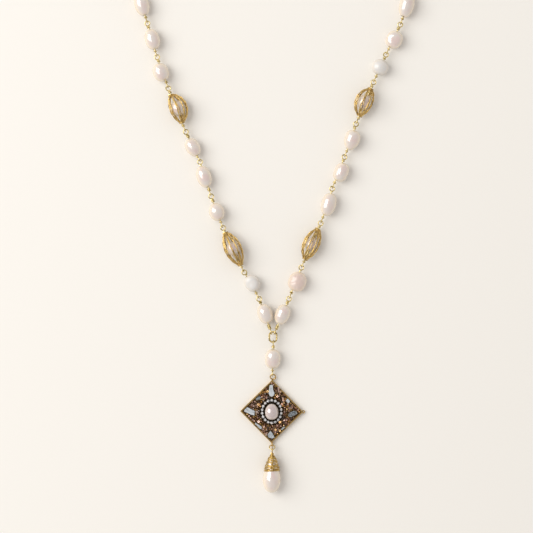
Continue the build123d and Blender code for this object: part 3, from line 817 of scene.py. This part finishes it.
@dataclass
class Pearl:
    """One pearl: the CAD pearl's own form read outwards from its middle, with its skin's relief, and
    drilled along the wire where it has one."""

    node: bpy.types.Object
    centre: Vector
    axis: Vector
    finish: bpy.types.Material
    skin: Skin = Skin.WAVY
    seed: int = 0
    hole: float = 1.0 * MM
    drilled: bool = True
    rings: int = 46
    segments: int = 64
    evened: int = 4  # passes that even out the facets of the CAD pearl
    far: float = 40 * MM
    least_reach: float = 3 * MM
    blind_polar: float = 0.02  # where an undrilled pearl's end is closed
    widest_hole: float = 0.5  # as a share of the reach at the end
    seed_steps: tuple[float, ...] = (7.3, 3.1, 5.7)
    wave_scales: tuple[float, float] = (0.22, 0.45)  # of the swell and the finer waves, to a millimetre
    fold_scale: float = 0.33
    fold_sharpness: int = 8
    hollow_reach_mm: float = 2.8
    ring_at_mm: float = 2.3
    ring_width_mm: float = 0.4

    def relief(self, place: Vector) -> float:
        """How far the skin sinks at a place.

        Args:
            place: the place from the pearl's middle.

        Returns:
            The depth in metres.
        """
        depths = RELIEFS[self.skin]
        shifted = place / MM + Vector([self.seed * step for step in self.seed_steps])
        swell, fine = (0.5 + 0.5 * noise.noise(shifted * scale) for scale in self.wave_scales)
        folds = 1 - abs(noise.noise(shifted * self.fold_scale))
        depth = depths.swell * swell + depths.fine * fine + depths.fold * folds ** self.fold_sharpness
        if place.z > 0:
            out = math.hypot(place.x, place.y) / MM
            depth += depths.hollow * max(0.0, 1 - (out / self.hollow_reach_mm) ** 2)
            depth += depths.ring * math.exp(-((out - self.ring_at_mm) / self.ring_width_mm) ** 2)
        return depth * MM

    def mesh(self) -> bpy.types.Mesh:
        """Builds the pearl's mesh."""
        data = self.node.data
        tree = BVHTree.FromPolygons([v.co for v in data.vertices], [p.vertices for p in data.polygons])
        left = self.axis.orthogonal().normalized()
        up = self.axis.cross(left)

        def way(polar: float, turn: float) -> Vector:
            """Direction from the pearl's middle."""
            return (self.axis * math.cos(polar)
                    + (left * math.cos(turn) + up * math.sin(turn)) * math.sin(polar))

        def reach(out: Vector) -> float:
            """How far the CAD pearl reaches in a direction."""
            hit = tree.ray_cast(self.centre + out * self.far, -out, self.far)[0]
            return (hit - self.centre).length if hit is not None else self.least_reach

        pole = max(reach(way(NEAR_POLE, 0)), self.least_reach)
        first = math.asin(min(self.widest_hole, self.hole / 2 / pole)) if self.drilled else self.blind_polar
        polars = [first + (math.pi - 2 * first) * n / (self.rings - 1) for n in range(self.rings)]
        ways = [way(polar, 2 * math.pi * n / self.segments) for polar in polars for n in range(self.segments)]
        far = np.array([reach(out) for out in ways]).reshape(self.rings, self.segments)
        for _ in range(self.evened):
            rows = np.vstack((far[:1], far, far[-1:]))
            far = (2 * far + rows[:-2] + rows[2:]) / 4
            far = (2 * far + np.roll(far, 1, axis=1) + np.roll(far, -1, axis=1)) / 4
        points = [self.centre + out * (distance - self.relief(out * distance))
                  for out, distance in zip(ways, far.ravel().tolist())]
        faces = [(ring * self.segments + n, (ring + 1) * self.segments + n,
                  (ring + 1) * self.segments + (n + 1) % self.segments,
                  ring * self.segments + (n + 1) % self.segments)
                 for ring in range(self.rings - 1) for n in range(self.segments)]
        last = (self.rings - 1) * self.segments
        if self.drilled:
            faces += [(last + n, n, (n + 1) % self.segments, last + (n + 1) % self.segments)
                      for n in range(self.segments)]
        else:
            faces += [tuple(range(self.segments)), tuple(last + n for n in reversed(range(self.segments)))]
        mesh = bpy.data.meshes.new(self.node.name)
        mesh.from_pydata(points, [], faces)
        mesh.shade_smooth()
        return mesh

    def build(self) -> bpy.types.Object:
        """Builds the pearl as a piece."""
        return place_piece(self.node.name + "_nacre", self.mesh(), [self.node.name], self.finish)


@dataclass
class Cage:
    """Openwork cage: nine twisted pairs of wires bowed from collar to collar, single wires crossing them
    on the inside, and each collar wound."""

    node: bpy.types.Object
    link: Link
    tree: bpy.types.NodeTree
    finish: bpy.types.Material
    count: int = 9
    twist: float = math.radians(45)
    band: float = 0.65 * MM  # girth of a pair of wires
    wire: float = 0.46 * MM
    pitch: float = 7.0 * MM  # of a twisted pair
    inner_count: int = 6
    inner_twist: float = math.radians(-75)
    inner_wire: float = 0.4 * MM
    sunk: float = 0.5 * MM  # from the outer wires' middle to the inner wires'
    slack: float = 0.08 * MM  # that a pair's wires stand off each other
    waist: float = 0.15  # share of the half length that is measured for the cage's width
    side_angle: float = math.radians(20)  # of the bar that is nearest to the widest side
    rise_angle: float = math.radians(80)  # of the bar that is nearest to the top
    bent: float = 0.05  # share of the half length that a bar's top strays by
    set_off: float = 0.06  # radians that a bar strays round the cage
    shallow: tuple[float, float] = (0.02 * MM, 0.16 * MM)  # that a bar is sunk by
    inner_stray: float = 0.2  # share of the inner bars' spacing
    winds: tuple[float, float, float] = (0.5, 1.5, 2.4)  # middle of a collar's layers, in its wires
    wind_step: float = 0.1 * MM  # that each layer of a collar starts further in
    collar: float = 3.1 * MM
    collar_length: float = 1.2 * MM
    collar_wire: float = 0.42 * MM

    def build(self) -> bpy.types.Object:
        """Builds the cage as a piece."""
        local = self.link.local(corners(self.node))
        start, end = float(local[:, 0].min()), float(local[:, 0].max())
        middle, reach = (start + end) / 2, (end - start) / 2
        waist = local[np.abs(local[:, 0] - middle) < self.waist * reach]
        side_reach = (float(np.ptp(waist[:, 1])) - self.band) / (1 + math.cos(self.side_angle))
        side = float(waist[:, 1].max()) - self.band / 2 - side_reach
        rise_reach = (float(np.ptp(waist[:, 2])) - self.band) / 2 / math.sin(self.rise_angle)
        rise = (float(waist[:, 2].max()) + float(waist[:, 2].min())) / 2
        foot_x, foot_radius = reach - self.collar_length / 2, self.collar / 2 - self.band
        dice = random.Random(int(self.node.name[-2:]))

        def bar(begin: float, twist: float, sunk: float, girth: float) -> Path:
            """One bar from collar to collar, sunk below the CAD bars by an amount."""
            ends = [np.array((middle + sign * foot_x, foot_radius * math.cos(begin + share * twist),
                              foot_radius * math.sin(begin + share * twist)))
                    for sign, share in ((-1, 0), (1, 1))]
            half_way = begin + twist / 2
            top = np.array((middle + dice.uniform(-self.bent, self.bent) * reach,
                            side + (side_reach - sunk) * math.cos(half_way),
                            rise + (rise_reach - sunk) * math.sin(half_way)))
            return self.arc(ends[0], top, ends[1], girth)

        outer_bars, inner_bars = [], []
        for number in range(self.count):
            begin = (2 * math.pi * number / self.count - self.twist / 2
                     + dice.uniform(-self.set_off, self.set_off))
            outer_bars.append(bar(begin, self.twist, dice.uniform(*self.shallow), self.girth))
        for number in range(self.inner_count):
            place = number + dice.uniform(-self.inner_stray, self.inner_stray)
            begin = 2 * math.pi * place / self.inner_count
            inner_bars.append(bar(begin, self.inner_twist * dice.uniform(0.8, 1.2), self.sunk, 0.0))
        wound: list[Path] = []
        girths = [self.collar / 2 - self.collar_wire * wind for wind in self.winds]
        for sign in (-1, 1):
            for step, girth in enumerate(girths):
                outer = middle + sign * (reach - self.collar_wire / 2 + self.wind_step * step)
                inner = middle + sign * (reach - self.collar_length + self.collar_wire / 2)
                wound.append(straight(self.link.world(outer, 0, 0), self.link.world(inner, 0, 0), girth))
        values = {"Wire Sides": 8, "Phase": 0.0, "Finish": self.finish}
        made = [grown(self.node.name + "_pairs", self.tree, path_mesh("bars", outer_bars), values | {
            "Wire Radius": self.wire / 2, "Step": 0.5 * MM, "Pitch": self.pitch, "Phase": math.pi * side_of})
            for side_of in range(2)]
        made.append(grown(self.node.name + "_inner", self.tree, path_mesh("inner", inner_bars), values | {
            "Wire Radius": self.inner_wire / 2, "Step": 0.6 * MM, "Pitch": 1.0}))
        made.append(grown(self.node.name + "_collars", self.tree, path_mesh("collars", wound), values | {
            "Wire Radius": self.collar_wire / 2, "Step": 0.02 * MM, "Pitch": self.collar_wire}))
        name = self.node.name + "_wires"
        return place_piece(name, merged(name, made), [self.node.name])

    @property
    def girth(self) -> float:
        """How far each wire of a pair is from the pair's middle."""
        return (self.band - self.wire) / 2 + self.slack

    def arc(self, start: np.ndarray, top: np.ndarray, end: np.ndarray, girth: float,
            steps: int = 22) -> Path:
        """The arc through three places.

        Args:
            start: one end, in the link's axes.
            top: the middle of the arc.
            end: the other end.
            girth: how far out a wire winds about it.
            steps: how many runs the arc has.

        Returns:
            The path.
        """
        first, second = top - start, end - start
        normal = np.cross(first, second)
        centre = start + (np.cross(normal, first) * (second @ second) + np.cross(second, normal)
                          * (first @ first)) / (2 * (normal @ normal))
        out, radius = start - centre, float(np.linalg.norm(start - centre))
        out = out / radius
        other = np.cross(normal / np.linalg.norm(normal), out)
        sweep = math.atan2(float((end - centre) @ other), float((end - centre) @ out))
        if float((top - centre) @ (out * math.cos(sweep / 2) + other * math.sin(sweep / 2))) < 0:
            sweep -= math.copysign(2 * math.pi, sweep)
        turns = (sweep * step / steps for step in range(steps + 1))
        points = [self.link.world(*(centre + radius * (out * math.cos(turn) + other * math.sin(turn))))
                  for turn in turns]
        return Path(points, [girth] * (steps + 1))


@dataclass
class Strand:
    """The strand's links, pearls and cages, from the junction up both sides and round to the clasp."""

    frame: Mapping[str, bpy.types.Object]
    finishes: Finishes
    tree: bpy.types.NodeTree
    skins: Mapping[str, Skin] = field(default_factory=lambda: {
        "pearl_02": Skin.FLAT, "pearl_15": Skin.WRINKLED, "pearl_17": Skin.WRINKLED,
        "pearl_19": Skin.RINGED, "pearl_20": Skin.FLAT})
    blushing: tuple[str, ...] = ("pearl_15",)
    matt: tuple[str, ...] = ("pearl_02", "pearl_19")

    def nearest(self, link: Link) -> bpy.types.Object:
        """The pearl or cage that a link carries."""
        def apart(name: str) -> float:
            """Distance from the link's middle to a node's."""
            low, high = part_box(name)
            return ((low + high) / 2 - link.middle).length
        names = [n for n in self.frame if n.startswith(("pearl_", "cage_")) and "cage_pearl" not in n]
        return self.frame[min(names, key=apart)]

    def build(self) -> None:
        """Builds every piece of the strand."""
        sizes = LinkSizes()
        for node in ("link_wire_a", "link_wire_b"):
            links = [sizes.read(part) for part in loose_parts(self.frame[node])]
            beads = [self.nearest(link) for link in links]
            spans = []
            for link, bead in zip(links, beads):
                along = link.local(corners(bead))[:, 0]
                spans.append((float(along.min()), float(along.max())))
                if bead.name.startswith("cage"):
                    Cage(bead, link, self.tree, self.finishes.antique).build()
                    held = self.frame[bead.name.replace("cage", "cage_pearl")]
                    self.pearl(held, link, Skin.EVEN)
                else:
                    self.pearl(bead, link, self.skins.get(bead.name, Skin.WAVY))
            WrappedLinks(node, links, spans, self.tree, self.finishes.link_wire).build()

    def pearl(self, node: bpy.types.Object, link: Link, skin: Skin) -> None:
        """Builds one pearl on its link's wire."""
        local = link.local(corners(node))
        centre = link.world((float(local[:, 0].min()) + float(local[:, 0].max())) / 2, 0, 0)
        axis = Vector(link.frame.transposed()[0])
        finish = self.finishes.ivory
        if node.name in self.blushing:
            finish = self.finishes.blush
        elif node.name in self.matt:
            finish = self.finishes.matt
        Pearl(node, centre, axis, finish, skin, int(node.name[-2:])).build()


@dataclass
class PearlLink:
    """Junction ring of two twisted wires, and the pearl link that hangs from it."""

    frame: Mapping[str, bpy.types.Object]
    finishes: Finishes
    tree: bpy.types.NodeTree
    wire: float = 0.9 * MM
    strand: float = 0.29  # radius of one of its two wires, as a share of the wire
    lay: float = 0.26  # how far that wire is from the middle, likewise
    turns: int = 9
    points: int = 64

    def build(self) -> None:
        """Builds the ring, the pearl and its wire."""
        low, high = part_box("junction_ring")
        centre, half_x, half_y = (low + high) / 2, (high.x - low.x) / 2, (high.y - low.y) / 2
        radius = half_x - self.wire / 2
        run = half_y - half_x
        points = []
        for number in range(self.points):
            turn = 2 * math.pi * number / self.points
            rise = radius * math.sin(turn) + math.copysign(run, math.sin(turn))
            points.append(centre + Vector((radius * math.cos(turn), rise, 0)))
        length = sum((points[n] - points[n - 1]).length for n in range(len(points)))
        girths = [self.wire * self.lay] * self.points
        twisted = [grown(f"ring_{n}", self.tree, path_mesh("ring", [Path(points, girths, True)]), {
            "Wire Radius": self.wire * self.strand, "Wire Sides": 9, "Step": 0.08 * MM,
            "Pitch": length / self.turns, "Phase": math.pi * n,
            "Finish": self.finishes.link_wire}) for n in range(2)]
        place_piece("junction_ring_twisted", merged("junction_ring_twisted", twisted),
                    ["junction_ring"])
        sizes = LinkSizes()
        link = sizes.read(corners(self.frame["link_pearl_wire"]), strand=False)
        along = link.local(corners(self.frame["link_pearl"]))[:, 0]
        start, end = float(along.min()), float(along.max())
        WrappedLinks("link_pearl_wire", [link], [(start, end)], self.tree, self.finishes.link_wire).build()
        Pearl(self.frame["link_pearl"], link.world((start + end) / 2, 0, 0),
              Vector(link.frame.transposed()[0]), self.finishes.ivory, Skin.WAVY, 31).build()


@dataclass(frozen=True)
class ChipLook:
    """Look of the stone chip whose middle is nearest to a place."""

    x_mm: float  # from the middle of the tray
    y_mm: float
    tone: float = 0.0  # lighter above 0
    streak: float = 0.0  # share of stripes, against specks
    grain: float = 0.0  # direction of the stripes, degrees from +X


@dataclass
class Pendant:
    """Square tray hung by a corner: sewn glass beads, split stone chips, cut stones and a pearl."""

    frame: Mapping[str, bpy.types.Object]
    finishes: Finishes
    tree: bpy.types.NodeTree
    bed_top: float = 2.2 * MM
    backing_top: float = 1.5 * MM
    bead: float = 1.3 * MM
    hole: float = 0.3 * MM
    tube: float = 0.85 * MM
    tube_length: float = 2.6 * MM
    margin: float = 0.22 * MM  # from a bead's middle to the edge of the bed
    pitch: float = 1.2 * MM  # from bead to bead
    stray: float = 0.16 * MM  # that a bead sits off its place
    rows_turn: float = math.radians(17)  # of the rows of beads
    bed_slack: float = 0.1 * MM  # that the bed's top may lie lower
    tubes: float = 0.05  # share of short tubes among the beads
    leans: tuple[float, ...] = (0.1, 0.3, 0.6, 3.0)  # rise of a bead's hole over its run
    spread: tuple[float, float] = (0.88, 1.08)  # smallest and largest size
    sit: tuple[float, float] = (0.45 * MM, 0.25 * MM)  # of a bead's middle over the backing, and its range
    chip_edge: float = 0.12 * MM
    chip_relief: float = 0.07 * MM
    chip_facet: float = 0.35 * MM
    chip_wave: float = 0.9  # of the relief, to a millimetre
    stripe_scales: tuple[float, float, float] = (0.25, 2.6, 0.3)  # along, across and down, likewise
    seed: int = 11
    looks: tuple[ChipLook, ...] = (
        ChipLook(-0.1, 10.4, tone=0.12, streak=0.7, grain=88),
        ChipLook(-6.6, 6.8, tone=-0.04, streak=1.0, grain=32),
        ChipLook(-11.0, 0.1, tone=0.1, streak=0.8, grain=-42),
        ChipLook(8.2, 5.3, tone=0.1, streak=0.3, grain=50),
        ChipLook(10.6, -1.3, tone=-0.08, streak=0.25, grain=20),
        ChipLook(-6.6, -7.3, tone=0.06, streak=0.2, grain=-40),
        ChipLook(-0.3, -11.8, tone=0.03, streak=0.4, grain=60),
        ChipLook(5.6, -8.4, tone=0.02, streak=0.5, grain=40))

    def build(self) -> None:
        """Builds the pendant's pieces."""
        self.backing()
        self.beads()
        self.chips()
        node = self.frame["centre_pearl"]
        low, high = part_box("centre_pearl")
        Pearl(node, (low + high) / 2, Vector((0, 1, 0)), self.finishes.centre, Skin.EVEN, 41,
              drilled=False).build()
        dress(self.frame["pendant_frame"], self.finishes.frame, "gold_frame")
        dress(self.frame["halo_stones"], self.finishes.crystal, "crystal")

    def backing(self) -> None:
        """Lowers a copy of the bed to make the cloth that the beads are sewn to."""
        mesh = self.frame["bead_bed"].data.copy()
        work = bmesh.new()
        work.from_mesh(mesh)
        bmesh.ops.remove_doubles(work, verts=work.verts, dist=WELD)
        for vertex in work.verts:
            vertex.co.z = min(vertex.co.z, self.backing_top)
        work.to_mesh(mesh)
        work.free()
        place_piece("bead_backing", mesh, ["bead_bed"], self.finishes.backing)

    def places(self) -> list[Vector]:
        """Where the beads are sewn: close together on the bed, clear of the chips and the halo."""
        bed = self.frame["bead_bed"].data
        bed_tree = BVHTree.FromPolygons([v.co for v in bed.vertices], [p.vertices for p in bed.polygons])
        dice = random.Random(self.seed)
        low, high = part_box("bead_bed")

        def on_bed(x: float, y: float) -> bool:
            """Whether the bed's top is under a place and all round it."""
            for turn in range(9):
                reach = 0 if turn == 8 else self.margin
                spot = Vector((x + reach * math.cos(turn * math.pi / 4),
                               y + reach * math.sin(turn * math.pi / 4), 10 * MM))
                hit = bed_tree.ray_cast(spot, Vector((0, 0, -1)), 20 * MM)[0]
                if hit is None or hit.z < self.bed_top - self.bed_slack:
                    return False
            return True

        middle, half = (low + high) / 2, int((high.x - low.x) / self.pitch)
        turn = self.rows_turn
        chosen: list[Vector] = []
        for row in range(-half, half + 1):
            for column in range(-half, half + 1):
                u = (column + 0.5 * (row % 2)) * self.pitch + dice.uniform(-1, 1) * self.stray
                v = row * self.pitch * math.sqrt(3) / 2 + dice.uniform(-1, 1) * self.stray
                spot = Vector((middle.x + u * math.cos(turn) - v * math.sin(turn),
                               middle.y + u * math.sin(turn) + v * math.cos(turn), 0))
                if on_bed(spot.x, spot.y):
                    chosen.append(spot)
        return chosen

    def beads(self) -> None:
        """Sews the beads on as one piece."""
        dice = random.Random(self.seed + 1)
        spots = self.places()
        tints, kinds, sizes, lies, points = [], [], [], [], []
        for spot in spots:
            tube = dice.random() < self.tubes
            turn = dice.uniform(0, 2 * math.pi)
            lift = 0.0 if tube else dice.choice(self.leans)
            lies += [math.cos(turn), math.sin(turn), lift]
            kinds.append(1 if tube else 0)
            sizes.append(dice.uniform(*self.spread))
            tints.append(dice.random())
            height = self.backing_top + self.sit[0] + dice.uniform(0, self.sit[1])
            points.append(spot + Vector((0, 0, height)))
        base = bpy.data.meshes.new("bead_points")
        base.from_pydata(points, [], [])
        for name, kind, values in (("tint", "FLOAT", tints), ("kind", "INT", kinds),
                                   ("size", "FLOAT", sizes)):
            base.attributes.new(name, kind, "POINT").data.foreach_set("value", values)
        base.attributes.new("lie", "FLOAT_VECTOR", "POINT").data.foreach_set("vector", lies)
        mesh = grown("seed_beads_sewn", self.tree, base, {
            "Bead Diameter": self.bead, "Bead Hole": self.hole, "Tube Diameter": self.tube,
            "Tube Length": self.tube_length, "Finish": self.finishes.seeds})
        place_piece("seed_beads_sewn", mesh, ["bead_bed"])
        LOG.info("seed beads: %d", len(spots))

    def chips(self) -> None:
        """Splits the stone chips' edges and faces a little, and gives each chip its own look."""
        work = bmesh.new()
        work.from_mesh(self.frame["stone_chips"].data)
        bmesh.ops.remove_doubles(work, verts=work.verts, dist=WELD)
        bmesh.ops.dissolve_limit(work, angle_limit=math.radians(2), verts=work.verts, edges=work.edges)
        bmesh.ops.bevel(work, geom=list(work.edges), offset=self.chip_edge, segments=1, profile=0.6,
                        affect="EDGES", clamp_overlap=True)
        bmesh.ops.triangulate(work, faces=work.faces)
        for _ in range(3):
            long_edges = [e for e in work.edges if e.calc_length() > self.chip_facet]
            bmesh.ops.subdivide_edges(work, edges=long_edges, cuts=1)
            bmesh.ops.triangulate(work, faces=work.faces)
        mesh = bpy.data.meshes.new("stone_chips_split")
        for vertex in work.verts:
            wave = 0.5 + 0.5 * noise.noise(vertex.co / MM * self.chip_wave)
            vertex.co -= vertex.normal * wave * self.chip_relief
        work.to_mesh(mesh)
        work.free()
        low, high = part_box("centre_pearl")
        middle = (low + high) / 2
        tones, streaks, ways = [], [], []
        along, across, down = self.stripe_scales
        for vertex in mesh.vertices:
            x, y = (vertex.co.x - middle.x) / MM, (vertex.co.y - middle.y) / MM
            look = min(self.looks, key=lambda one: math.hypot(one.x_mm - x, one.y_mm - y))
            turn = math.radians(look.grain)
            tones.append(look.tone)
            streaks.append(look.streak)
            ways += [along * (x * math.cos(turn) + y * math.sin(turn)),
                     across * (y * math.cos(turn) - x * math.sin(turn)), down * vertex.co.z / MM]
        for name, kind, values in (("tone", "FLOAT", tones), ("streak", "FLOAT", streaks)):
            mesh.attributes.new(name, kind, "POINT").data.foreach_set("value", values)
        mesh.attributes.new("way", "FLOAT_VECTOR", "POINT").data.foreach_set("vector", ways)
        mesh.shade_flat()
        place_piece("stone_chips_split", mesh, ["stone_chips"], self.finishes.stone)


@dataclass
class Drop:
    """Pear drop under a cap of wound wire, on its loop and jump ring."""

    frame: Mapping[str, bpy.types.Object]
    finishes: Finishes
    tree: bpy.types.NodeTree
    wire: float = 0.6 * MM
    cap_wire: float = 0.72 * MM
    loop: float = 2.4 * MM
    cap_start: float = 2.2 * MM
    cap_end: float = 10.3 * MM
    turns: float = 8.5
    turn_steps: int = 26
    sunk: float = 0.1 * MM  # of the turns under the cap's radius
    stray: float = 0.9 * MM  # that a turn wanders along the cap
    lining_turns: int = 12
    lining_sunk: float = 0.5 * MM
    lining_stray: float = 0.1 * MM
    tie_wire: float = 0.24 * MM  # radius
    tie_girth: float = 0.2 * MM
    tie_pitch: float = 1.5 * MM
    tie_points: int = 34
    tie_short: float = 0.3 * MM  # of the cap's end
    belly: float = 9.5 * MM  # from the tip, where the pearl is read outwards from
    profile: tuple[tuple[float, float], ...] = (
        (2.2, 0.75), (3.4, 1.65), (4.6, 2.3), (5.9, 2.86), (7.2, 3.3), (8.6, 3.72), (9.8, 4.02), (10.3, 4.08))

    def build(self) -> None:
        """Builds the drop, its cap and the jump ring's finish."""
        cap, pearl = corners(self.frame["drop_cap"]), corners(self.frame["drop_pearl"])
        tip = pearl[pearl[:, 1].argmin()]
        top = cap[cap[:, 1] > cap[:, 1].max() - (self.loop + self.wire)]
        loop = (top.max(axis=0) + top.min(axis=0)) / 2
        along = Vector(tip - loop).normalized()
        left = Vector((0, 0, 1)).cross(along).normalized()
        up = along.cross(left)
        start = Vector(loop)
        plain = [circle(start, along, up, self.loop / 2),
                 straight(start + along * self.loop / 2, start + along * self.cap_start * 1.4)]
        neck = straight(start + along * (self.loop / 2 + self.wire / 2), start + along * self.cap_start,
                        self.wire)

        def wrap(turns: float, sunk: float, stray: float, seed: float) -> Path:
            """Winding down the cap, sunk below its radius, each turn straying by an amount."""
            count = int(turns * self.turn_steps)
            points = []
            for number in range(count + 1):
                share = number / count
                turn = 2 * math.pi * turns * share
                way = left * math.cos(turn) + up * math.sin(turn)
                waver = Vector((math.cos(turn), math.sin(turn), share * turns * 0.8 + seed))
                edge = min(1.0, 5 * share, 5 * (1 - share))
                reach = self.cap_start + (self.cap_end - self.cap_start) * share
                reach += stray * edge * noise.noise(waver * 1.3)
                out = self.radius(reach) - sunk - 0.3 * stray * (0.5 + 0.5 * noise.noise(waver * 2.1))
                points.append(start + along * reach + way * out)
            return Path(points)

        values = {"Wire Sides": 8, "Phase": 0.0, "Pitch": 1.0, "Finish": self.finishes.cap_wire}
        lining = values | {"Finish": self.finishes.frame}
        inner = wrap(self.lining_turns, self.lining_sunk, self.lining_stray, 2.0)
        outer = wrap(self.turns, self.sunk, self.stray, 7.0)
        meshes = [
            grown("cap_rods", self.tree, path_mesh("rods", plain), values | {
                "Wire Radius": self.wire / 2, "Step": ROD_STEP}),
            grown("cap_neck", self.tree, path_mesh("neck", [neck]), values | {
                "Wire Radius": self.wire / 2, "Step": 0.04 * MM, "Pitch": self.wire}),
            grown("cap_lining", self.tree, path_mesh("lining", [inner]), lining | {
                "Wire Radius": self.cap_wire / 2, "Step": 0.5 * MM}),
            grown("cap_turns", self.tree, path_mesh("turns", [outer]), values | {
                "Wire Radius": self.cap_wire / 2, "Step": ROD_STEP}),
            *(grown(f"cap_tie_{n}", self.tree, path_mesh("tie", [self.front_tie(start, along, left, up)]),
                    values | {"Wire Radius": self.tie_wire, "Step": self.tie_wire / 2,
                              "Pitch": self.tie_pitch, "Phase": math.pi * n}) for n in range(2))]
        place_piece("drop_cap_wound", merged("drop_cap_wound", meshes), ["drop_cap"])
        middle = start + along * ((Vector(tip) - start).length - self.belly)
        Pearl(self.frame["drop_pearl"], middle, along, self.finishes.ivory, Skin.EVEN, 43,
              drilled=False, rings=60).build()
        dress(self.frame["jump_ring"], self.finishes.link_wire, "gold_wire")

    def radius(self, reach: float) -> float:
        """Winding radius of the cap at a distance from the loop."""
        where, sizes = zip(*self.profile)
        return float(np.interp(reach / MM, where, sizes)) * MM

    def front_tie(self, start: Vector, along: Vector, left: Vector, up: Vector) -> Path:
        """Wire that runs down the front of the cap and holds its turns."""
        points = []
        for number in range(self.tie_points):
            share = number / (self.tie_points - 1)
            reach = self.cap_start + (self.cap_end - self.cap_start - self.tie_short) * share
            out = self.radius(reach) + self.cap_wire * 0.5
            turn = math.radians(86 + 5 * math.sin(number * 0.4))
            points.append(start + along * reach + (left * math.cos(turn) + up * math.sin(turn)) * out)
        return Path(points, [self.tie_girth] * len(points))


def dress(node: bpy.types.Object, finish: bpy.types.Material, slot: str) -> None:
    """Gives a carried-over CAD node its material.

    Args:
        node: the CAD node.
        finish: its material.
        slot: the record's slot that the finish is for.
    """
    if not node.material_slots:
        node.data.materials.append(finish)
    for place in node.material_slots:
        place.material = finish
    LOG.info("%s: dressed in %s for slot %s", node.name, finish.name, slot)


@dataclass
class Studio:
    """Pale paper, a large soft light from the upper left, and the camera straight above."""

    look_at: tuple[float, float] = (-4.113 * MM, -64.52 * MM)
    lens: float = 135.0
    sensor: float = 36.0
    width: float = 266.5 * MM
    height: float = 3.9 * MM  # of the strand's middle, where the width is measured
    key_place: tuple[float, float, float] = (-1.05, 0.3, 1.2)
    key_size: tuple[float, float] = (1.2, 1.4)
    key_power: float = 19.5
    paper: float = 6.0
    around: float = 0.82  # strength of the room near the floor
    overhead: float = 0.5  # and straight above

    def build(self) -> None:
        """Builds the paper, the lights and the camera."""
        scene = bpy.context.scene
        scene.view_settings.view_transform = "Standard"
        paper = bpy.data.meshes.new("paper")
        corner = self.paper / 2
        paper.from_pydata([(-corner, -corner, 0), (corner, -corner, 0), (corner, corner, 0),
                           (-corner, corner, 0)], [], [(0, 1, 2, 3)])
        paper.materials.append(Cloth("ivory_paper", "#F3F0EB", "#F2EFEA", 0.8).build())
        floor = bpy.data.objects.new("paper", paper)
        scene.collection.objects.link(floor)

        light = bpy.data.lights.new("key", "AREA")
        light.shape, light.size, light.size_y = "RECTANGLE", *self.key_size
        light.energy, light.color = self.key_power, linear("#FFFDF9")[:3]
        key = bpy.data.objects.new("key", light)
        key.location = self.key_place
        key.rotation_euler = (Vector((*self.look_at, 0)) - key.location).to_track_quat("-Z", "Y").to_euler()
        scene.collection.objects.link(key)

        world = bpy.data.worlds.new("room")
        world.use_nodes = True
        world.node_tree.nodes.clear()
        way = add(world.node_tree, "ShaderNodeTexCoord").outputs["Generated"]
        height = add(world.node_tree, "ShaderNodeSeparateXYZ", {0: way})
        strength = add(world.node_tree, "ShaderNodeMapRange", {
            "Value": height.outputs["Z"], "From Min": 0.1, "From Max": 0.95, "To Min": self.around,
            "To Max": self.overhead})
        glow = add(world.node_tree, "ShaderNodeBackground", {"Color": linear("#FDFAF7"),
                                                             "Strength": strength.outputs[0]})
        add(world.node_tree, "ShaderNodeOutputWorld", {"Surface": glow.outputs[0]})
        scene.world = world

        lens = bpy.data.cameras.new("camera")
        lens.lens, lens.sensor_width = self.lens, self.sensor
        camera = bpy.data.objects.new("camera", lens)
        camera.location = (*self.look_at, self.height + self.width * self.lens / self.sensor)
        scene.collection.objects.link(camera)
        scene.camera = camera


def main() -> None:
    """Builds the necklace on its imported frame, then the studio."""
    logging.basicConfig(level=logging.INFO, format="%(message)s")
    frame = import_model()
    nodes = frame["nodes"]
    finishes = make_finishes()
    wires, beads = wire_tree(), bead_tree()
    Strand(nodes, finishes, wires).build()
    PearlLink(nodes, finishes, wires).build()
    Pendant(nodes, finishes, beads).build()
    Drop(nodes, finishes, wires).build()
    dress(nodes["clasp"], finishes.link_wire, "gold_wire")
    Studio().build()


if __name__ == "__main__":
    main()
